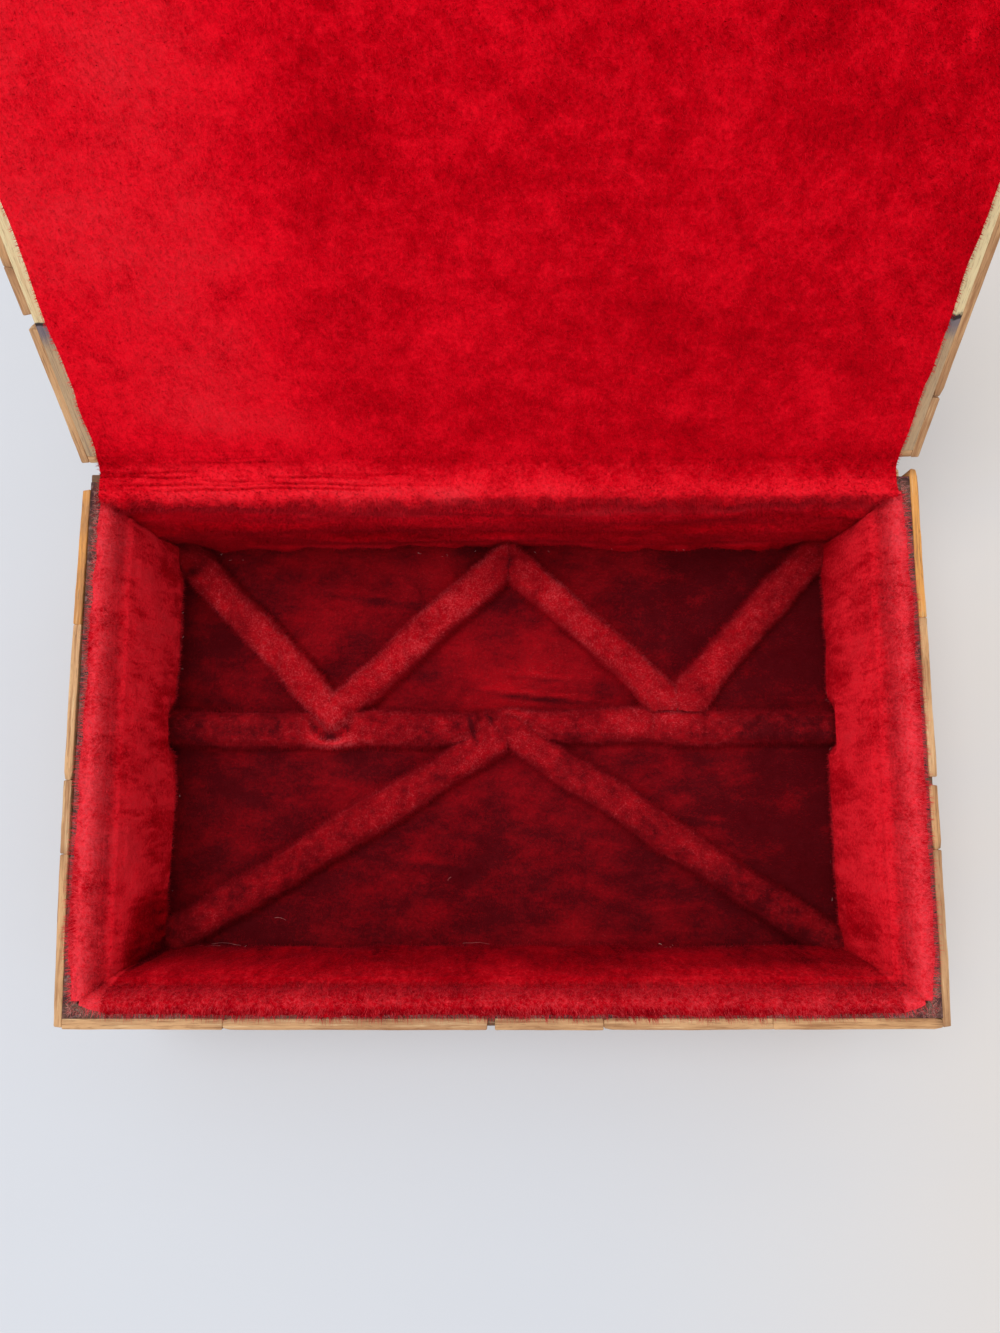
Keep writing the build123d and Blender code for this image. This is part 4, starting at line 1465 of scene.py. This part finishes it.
def fitted_slat(pattern, box, along, thin, seed, look):
    """A copy of the pattern slat fitted to a box, its ends kept round, worn in its own way."""
    low, high = box
    size, up = high - low, 3 - along - thin
    chance = np.random.default_rng(seed)
    copy = copied(pattern)
    x, y, z = get_points(copy).T
    keep_end, straight = min(END_RUN, size[along] / 3), SLAT[0] / 2 - END_RUN
    past = np.maximum(np.abs(x) - straight, 0) * keep_end / END_RUN
    middle = np.minimum(np.abs(x), straight) * (size[along] / 2 - keep_end) / straight
    x = np.sign(x) * (middle + past)
    y = y * (size[thin] / SLAT[1])
    z = z * (size[up] / SLAT[2])
    shifted = xyz(x, y, z) + np.array((seed * 7.31, seed * 3.7, seed * 1.9))
    ends = fade((np.abs(x) - size[along] / 2 + 3) / 3)
    edge = fade(np.abs(z) - size[up] / 2 + 1.0)
    y = y + rough(shifted, (0.14, (19, 60, 60), 3), (0.07, (4, 3, 3), 4))
    z = z - np.sign(z) * edge * (0.12 + 0.16 * lumps(shifted, (3.2, 1.4, 30), 7))
    x = x - np.sign(x) * ends * (0.22 * lumps(shifted, (60, 1.3, 2.4), 8) - 0.1)
    worn = chance.uniform(0, 1, 2)[(x > 0).astype(int)] > 0.7
    rounding = worn * np.maximum(np.abs(x) - size[along] / 2 + 1.6, 0) / 1.6
    y = y * (1 - 0.45 * rounding**2)
    placed = np.empty((len(x), 3))
    placed[:, along], placed[:, thin], placed[:, up] = x, y, z
    set_points(copy, placed + (low + high) / 2)
    set_attribute(copy, "tone", look[0])
    set_attribute(copy, "dirt", look[1])
    set_attribute(copy, "shift", chance.uniform(0, 1))
    set_attribute(copy, "worn_end", ends * (0.4 + 0.6 * worn))
    return copy


def bowed(points, side):
    """Walls that have bowed outwards with age, and thicker slats along the front."""
    x, y = points[:, :2].T.copy()
    share = np.clip(1 - (y / OUTER_Y) ** 2, 0, 1)
    if side == "left":
        points[:, 0] -= 0.95 * share
    if side == "right":
        points[:, 0] += 0.3 * share
    if side == "front":
        outer = fade((-y - OUTER_Y + 2.0) / 1.6)
        points[:, 1] -= outer * (0.55 + 0.25 * np.clip(1 - (x / OUTER_X) ** 2, 0, 1))
    return points


# How amber and how dirty each slat of the top courses is, in the order of their places
SLAT_LOOKS = {
    "left_top_slats": ((0.35, 0.2), (0.3, 0.4), (0.3, 0.1), (1.1, 0.3)),
    "right_top_slats": ((0.2, 0.5), (0.5, 0.2), (0.4, -0.1), (0.85, -0.15)),
    "front_top_slats": ((0.2, 0.1), (0.2, 0.62), (0.35, 0.4), (0.4, 0.35), (0.45, 0.25)),
    "back_top_slats": ((0.1, 2.0), (0.2, 0.6), (0.3, 0.5), (0.2, 0.6)),
}


def stubs(boxes, along, thin):
    """Boxes of the broken wood left in each wide gap of a row, lower and thinner than its slats."""
    made = []
    for (low, high), (after, _) in zip(boxes, boxes[1:]):
        if after[along] - high[along] > 1.5:
            start, end = low.copy(), high.copy()
            start[along], end[along] = high[along] - 0.4, after[along] + 0.4
            end[2] -= 1.6
            start[thin] += 0.7 * (low[thin] < 0)
            end[thin] -= 0.7 * (low[thin] > 0)
            made.append((start, end))
    return made


def make_slats(node, pattern, along, thin, seed, shut=False):
    """Worn slats for every solid of a CAD node, joined into one piece. Shut marks those of the lid."""
    boxes = solid_boxes(node, shut)
    gaps = [] if shut else stubs(boxes, along, thin)
    # Painted shade: the stubs in the gaps take the darkest dirt, as dark as the shade down in each gap.
    copies = [fitted_slat(pattern, box, along, thin, seed - 1, (0, 2)) for box in gaps]
    looks = SLAT_LOOKS.get(node, ())
    for number, box in enumerate(boxes):
        plain = np.random.default_rng(seed + number).uniform(0.1, 0.6, 2)
        look = looks[number] if number < len(looks) else plain
        copies.append(fitted_slat(pattern, box, along, thin, seed + number, look))
    piece = joined(copies, node.replace("_slats", "_worn_slats"))
    points = get_points(piece)
    set_points(piece, swung_open(points) if shut else bowed(points, node.split("_")[0]))
    shade(piece, 50)
    return piece


def wood_material(name, along, turn=0.0):
    """Wood with grain along one axis, a tone of its own for each slat, and worn ends."""
    wood = bpy.context.scene.box_wood
    recipe = Recipe(name)
    spot = recipe.place(turn)
    shift = recipe.attribute("shift")
    tone, dirt, end = (recipe.attribute(name) for name in ("tone", "dirt", "worn_end"))
    coarse, fine, long_blotch = [1300.0] * 3, [4300.0] * 3, [260.0] * 3
    coarse[along], fine[along], long_blotch[along] = 42.0, 240.0, 50.0
    slides = {0: shift * 37.0, 1: shift * 19.0, 2: shift * 53.0}
    slide = recipe.node("ShaderNodeCombineXYZ", None, slides)
    grain = recipe.streaks(spot, coarse, 4, 0.6, slide)
    pores = recipe.streaks(spot, fine, 2, 0.6, slide)
    blotch = recipe.streaks(spot, long_blotch, 3, 0.55, slide)
    colour = recipe.coats(
        recipe.mix(recipe.smooth(tone + blotch * 0.5, 0.6, 1.15), wood.tan, wood.amber),
        (dirt * 0.55 + blotch, 0.52, 0.88, 0.75, wood.brown),
        (dirt, 1.2, 2.2, 0.85, paint(72, 48, 38)),
        (grain, 0.5, 0.66, 0.7, paint(150, 100, 60)),
        (grain, 0.46, 0.3, 0.55, paint(240, 208, 160)),
        (pores, 0.55, 0.75, 0.55, paint(104, 68, 42)),
    )
    dark_end = recipe.clamp(end * recipe.smooth(blotch, 0.4, 0.7)) * 0.65
    colour = recipe.mix(dark_end, colour, paint(84, 54, 36))
    height = grain * 0.6 + pores * 0.4
    return recipe.finish(colour, 0.5 + pores * 0.25, height, 0.0004, specular_ior_level=0.35)


def carcass_material(name):
    """Bare old wood, dark and dusty along the rim."""
    wood = bpy.context.scene.box_wood
    recipe = Recipe(name)
    spot = recipe.place()
    dust = recipe.noise(spot, 800, 4, 0.7)
    patches = recipe.noise(spot, 190, 3, 0.6)
    streak = recipe.streaks(spot, (160, 160, 1400), 3, 0.6)
    colour = recipe.coats(
        recipe.mix(recipe.smooth(patches, 0.4, 0.62), wood.carcass, paint(70, 42, 42)),
        (streak, 0.5, 0.7, 0.55, paint(128, 92, 78)),
        (dust, 0.5, 0.66, 0.6, paint(152, 120, 112)),
    )
    return recipe.finish(colour, 0.9, dust, 0.0006, specular_ior_level=0.2)


# How far up the lid the joint of its two planks lies, in millimetres
PLANK_JOINT = 44.7


def plank_material(name, front):
    """Plank of the lid: cream in front, tan and grey at the back with a stain by the joint."""
    wood = bpy.context.scene.box_wood
    recipe = Recipe(name)
    spot = recipe.place(LID_TURN)
    x, y, _ = recipe.axes(spot)
    hinge_y = (Matrix.Rotation(LID_TURN, 3, "X") @ HINGE_AXIS).y
    edge = recipe.maths("ABSOLUTE", x) * (1 / MM) + (recipe.noise(spot, 260, 2) - 0.5) * 1.6
    up_lid = recipe.maths("ABSOLUTE", y * (1 / MM) - hinge_y) + (recipe.noise(spot, 500, 2) - 0.5) * 2.4
    grain = recipe.streaks(spot, (1100, 36, 1100), 4, 0.65)
    pores = recipe.streaks(spot, (3600, 260, 3600), 2, 0.6)
    light = wood.cream if front else paint(196, 166, 128)
    shadow = paint(214, 180, 132) if front else paint(140, 116, 96)
    inner = paint(246, 232, 190) if front else paint(206, 184, 150)
    colour = recipe.coats(
        recipe.mix(recipe.smooth(edge, 119.2, 119.9), inner, light),
        (grain, 0.45, 0.68, 0.65, shadow),
        (pores, 0.52, 0.75, 0.5, paint(120, 90, 66)),
    )
    if not front:
        colour = recipe.coats(colour, (up_lid, PLANK_JOINT - 8, PLANK_JOINT - 1.5, 0.8, wood.stain))
    near = recipe.smooth(recipe.maths("ABSOLUTE", up_lid - PLANK_JOINT), 0.9, 0.3)
    colour = recipe.mix(near, colour, paint(52, 40, 40))
    return recipe.finish(colour, 0.7, grain * 0.5 + pores * 0.5, 0.0004, specular_ior_level=0.3)


def brass_material():
    recipe = Recipe("tarnished brass")
    spot = recipe.place()
    tarnish = recipe.noise(spot, 420, 4, 0.6)
    scratch = recipe.streaks(spot, (300, 3000, 3000), 2, 0.5)
    colour = recipe.mix(recipe.smooth(tarnish, 0.4, 0.66), paint(196, 156, 84), paint(98, 72, 40))
    return recipe.finish(colour, 0.32 + tarnish * 0.4, scratch, 0.00005, metallic=1.0)


def steel_material():
    recipe = Recipe("rusty steel")
    rust = recipe.noise(recipe.place(), 900, 4, 0.7)
    colour = recipe.mix(recipe.smooth(rust, 0.4, 0.6), paint(126, 122, 118), paint(104, 58, 34))
    return recipe.finish(colour, 0.4 + rust * 0.4, rust, 0.0001, metallic=0.8)


def card_material():
    recipe = Recipe("old card")
    fleck = recipe.noise(recipe.place(), 1500, 4, 0.7)
    colour = recipe.mix(recipe.smooth(fleck, 0.4, 0.7), paint(150, 126, 96), paint(112, 92, 70))
    return recipe.finish(colour, 0.9, fleck, 0.0001, specular_ior_level=0.2)


# Fixing pieces to bodies, and meshes of their own


def ride(pieces, body="case"):
    """Fixes pieces to a body."""
    for piece in pieces:
        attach(piece, body)


def flatten(piece):
    """Gives a piece on the rim a mesh of its own."""
    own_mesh(piece)


# Operators


class BoxOperator:
    """What the operators share."""

    bl_options = {"REGISTER", "UNDO"}


class OBJECT_OT_box_lid_plush(BoxOperator, bpy.types.Operator):
    """Plush of the back wall, the rim and the lid, and its pile"""

    bl_idname = "object.box_lid_plush"
    bl_label = "Lid and back plush"

    def execute(self, context):
        sheet = make_lid_sheet()
        # Painted light: the lid's copy of the plush gets a high lift, and painted highlights at the left
        # and along the rim.
        dress(sheet, plush_material("lid plush", 0.69, 0.17, (90, 100, 100), 0.6, worn=lid_painted_highlight))
        names = ("back_wall_pile", "lid_lower_pile", "lid_upper_pile")
        cuts = (-1e3, RIM - 1.5, RIM + 45, 1e3)
        piles = [
            grow_pile(sheet, name, lid_between(low, high), 101 + number, **LID_PILE)
            for number, (name, low, high) in enumerate(zip(names, cuts, cuts[1:]))
        ]
        for piece in [sheet, *piles]:
            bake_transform(piece)
        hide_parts("back_lining", "hinge_flap", "lid_lining")
        return {"FINISHED"}


class OBJECT_OT_box_wall_plush(BoxOperator, bpy.types.Operator):
    """Padded plush on the front and side walls, its edge over the rim, and its pile"""

    bl_idname = "object.box_wall_plush"
    bl_label = "Wall plush"

    def execute(self, context):
        # Painted light: the walls' copy of the plush gets a high lift, for the light that their grazing
        # pile catches.
        material = plush_material("wall plush", 0.67, 0.55, (140, 140, 36), 0.6, 0.7, 1.0, worn_at_rim)
        for number, side in enumerate(("front", "left", "right")):
            pad = make_wall_pad(side)
            dress(pad, material)
            pile = grow_pile(pad, side + "_wall_pile", facing_in, 110 + number, **PAD_PILE)
            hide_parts(side + "_lining")
            edge = make_rim_plush(side)
            dress(edge, material)
            fringe = grow_pile(edge, side + "_rim_pile", facing_in, 115 + number, **RIM_PILE)
            for piece in (edge, fringe):
                flatten(piece)
            ride((pad, pile, edge, fringe))
        return {"FINISHED"}


class OBJECT_OT_box_floor_plush(BoxOperator, bpy.types.Operator):
    """Plush on the floor, and its pile"""

    bl_idname = "object.box_floor_plush"
    bl_label = "Floor plush"

    def execute(self, context):
        floor = make_floor_plush()
        # Painted shade: the floor's copy of the same plush gets a very low lift, dark as the shaded floor
        # of the box.
        dress(floor, plush_material("floor plush", 0.1, 0.6, (80, 150, 150), 0.22, 0.34, dust=0.026))
        pile = grow_pile(floor, "floor_pile", upwards, 120, **FLOOR_PILE)
        ride((floor, pile))
        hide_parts("floor_lining")
        return {"FINISHED"}


class OBJECT_OT_box_dividers(BoxOperator, bpy.types.Operator):
    """Plush strips that divide the floor, and their pile"""

    bl_idname = "object.box_dividers"
    bl_label = "Dividers"

    def execute(self, context):
        # Painted shade: the dividers' copy of the same plush gets a low lift, between the floor's and the
        # walls'.
        material = plush_material(
            "divider plush", 0.27, 1.1, (110, 110, 110), 0.6, 0.36, worn=crest_wear_and_highlight, dust=0.034
        )
        for number, name in enumerate(RIBS):
            rib = make_rib(name)
            dress(rib, material)
            pile = grow_pile(rib, name + "_pile", over_strip, 130 + number, **RIB_PILE)
            ride((rib, pile))
            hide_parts(name + "_cover")
        return {"FINISHED"}


class OBJECT_OT_box_lint(BoxOperator, bpy.types.Operator):
    """Lint on the rim and stray threads in the box"""

    bl_idname = "object.box_lint"
    bl_label = "Lint and threads"

    def execute(self, context):
        rim_lint = make_rim_lint()
        dress(rim_lint, lint_material("pink lint", paint(190, 122, 112), paint(150, 40, 46)))
        flatten(rim_lint)
        pale = lint_material("pale threads", paint(236, 206, 196), paint(190, 96, 96))
        foot_lint, threads = make_foot_lint(), make_threads()
        for piece in (foot_lint, threads):
            dress(piece, pale)
        ride((rim_lint, foot_lint, threads))
        return {"FINISHED"}


class OBJECT_OT_box_slats(BoxOperator, bpy.types.Operator):
    """Worn slats round the case and over the lid"""

    bl_idname = "object.box_slats"
    bl_label = "Slats"

    def execute(self, context):
        pattern = make_pattern_slat()
        grain_x = wood_material("slat wood along the front", 0)
        grain_y = wood_material("slat wood along the sides", 1)
        lid_x = wood_material("lid slat wood across", 0, LID_TURN)
        lid_y = wood_material("lid slat wood along the sides", 1, LID_TURN)
        jobs = []
        for side in ("front", "back", "left", "right"):
            along = 0 if side in ("front", "back") else 1
            for course in ("top", "lower"):
                node = side + "_" + course + "_slats"
                jobs.append((node, along, 1 - along, (grain_x, grain_y)[along], False))
            jobs.append(("lid_" + side + "_edge_slats", along, 1 - along, (lid_x, lid_y)[along], True))
        jobs.append(("lid_top_slats", 0, 2, lid_x, True))
        for number, (node, along, thin, material, shut) in enumerate(jobs):
            piece = make_slats(node, pattern, along, thin, 200 + 100 * number, shut)
            dress(piece, material)
            ride([piece], "lid" if shut else "case")
            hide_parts(node)
        bpy.data.objects.remove(pattern)
        return {"FINISHED"}


class OBJECT_OT_box_finishes(BoxOperator, bpy.types.Operator):
    """Finishes of the carcass, the planks, the hinges, the nails and the cards"""

    bl_idname = "object.box_finishes"
    bl_label = "Finishes"

    def execute(self, context):
        carcass = carcass_material("dusty carcass wood")
        front = plank_material("cream plank", True)
        rear = plank_material("tan and grey plank", False)
        brass, steel, card = brass_material(), steel_material(), card_material()
        for name, node in frame["nodes"].items():
            if "plank" in name:
                dress(node, front if "front" in name else rear)
            elif "hinge" in name and name != "hinge_flap":
                dress(node, brass)
            elif "nails" in name:
                dress(node, steel)
            elif "card" in name:
                dress(node, card)
            else:
                dress(node, carcass)
        return {"FINISHED"}


# The soft lamp: its place, what it points at and its size, in metres
LAMP_PLACE = (-0.8, 0.35, 2.65)
LAMP_AIM = (0, 0, 0.03)
LAMP_SIZE = 1.6
# The camera as fitted to the photograph: its place in metres and the ways of its axes
CAMERA_PLACE = (0.0033, -0.0118, 0.3226)
CAMERA_AXES = (
    (0.99992494, -0.00349423, -0.01174291),
    (0.00493526, 0.99214182, 0.12502097),
    (0.01121378, -0.12506954, 0.9920846),
)


class OBJECT_OT_box_stage(BoxOperator, bpy.types.Operator):
    """Pale floor, soft lamp, even sky and the camera of the photograph"""

    bl_idname = "object.box_stage"
    bl_label = "Stage"

    def execute(self, context):
        stage = context.scene.box_stage
        nothing_selected()
        bpy.ops.mesh.primitive_plane_add(size=6, location=(0, 0, -0.0002))
        floor = named("stage_floor")
        recipe = Recipe("pale floor")
        spot = recipe.place()
        veins = recipe.streaks(spot, (5, 9, 5), 5, 0.6)
        # Painted light: the floor turns warmer towards the right, as if a warm light fell there.
        painted_warm_light = recipe.smooth(recipe.axes(spot)[0], 0.0, 0.25)
        colour = recipe.mix(painted_warm_light, stage.floor, paint(220, 213, 206))
        colour = recipe.coats(colour, (veins, 0.4, 0.75, 0.3, paint(206, 208, 214)))
        dress(floor, recipe.finish(colour, 0.6, specular_ior_level=0.2))
        self.light(context, stage)
        self.camera(context, stage)
        return {"FINISHED"}

    def light(self, context, stage):
        nothing_selected()
        bpy.ops.object.light_add(type="AREA", location=LAMP_PLACE)
        lamp = bpy.context.active_object
        lamp.name = "soft_lamp"
        lamp.data.energy = stage.key_power
        lamp.data.shape = "DISK"
        lamp.data.size = LAMP_SIZE
        lamp.rotation_euler = (Vector(LAMP_AIM) - lamp.location).to_track_quat("-Z", "Y").to_euler()
        world = bpy.data.worlds.new("even sky")
        world.use_nodes = True
        background = next(n for n in world.node_tree.nodes if n.type == "BACKGROUND")
        background.inputs["Color"].default_value = (0.97, 0.98, 1.0, 1.0)
        background.inputs["Strength"].default_value = stage.sky_strength
        context.scene.world = world

    def camera(self, context, stage):
        nothing_selected()
        bpy.ops.object.camera_add()
        camera = bpy.context.active_object
        camera.name = "camera"
        turn = Matrix(CAMERA_AXES).transposed()
        camera.matrix_world = Matrix.Translation(CAMERA_PLACE) @ turn.to_4x4()
        camera.data.sensor_width = 36.0
        camera.data.lens = stage.lens
        camera.data.clip_start = 0.01
        camera.data.clip_end = 20
        context.scene.camera = camera
        context.scene.view_settings.view_transform = "Standard"


OPERATORS = (
    OBJECT_OT_box_finishes,
    OBJECT_OT_box_slats,
    OBJECT_OT_box_lid_plush,
    OBJECT_OT_box_wall_plush,
    OBJECT_OT_box_floor_plush,
    OBJECT_OT_box_dividers,
    OBJECT_OT_box_lint,
    OBJECT_OT_box_stage,
)


class VIEW3D_PT_box(bpy.types.Panel):
    """Lists the box's settings and its operators."""

    bl_idname = "VIEW3D_PT_box"
    bl_label = "Antique jewelry box"
    bl_space_type = "VIEW_3D"
    bl_region_type = "UI"
    bl_category = "Box"

    def draw(self, context):
        for settings in (context.scene.box_plush, context.scene.box_wood, context.scene.box_stage):
            column = self.layout.column()
            for name in settings.__annotations__:
                column.prop(settings, name)
        for operator in OPERATORS:
            self.layout.operator(operator.bl_idname)


SETTINGS = {"box_plush": PlushSettings, "box_wood": WoodSettings, "box_stage": StageSettings}


def register():
    for item in (*SETTINGS.values(), *OPERATORS, VIEW3D_PT_box):
        bpy.utils.register_class(item)
    for name, settings in SETTINGS.items():
        setattr(bpy.types.Scene, name, PointerProperty(type=settings))


def unregister():
    for name in SETTINGS:
        delattr(bpy.types.Scene, name)
    for item in (VIEW3D_PT_box, *reversed(OPERATORS), *SETTINGS.values()):
        bpy.utils.unregister_class(item)


def main():
    register()
    for operator in OPERATORS:
        group, name = operator.bl_idname.split(".")
        getattr(getattr(bpy.ops, group), name)()


if __name__ == "__main__":
    main()
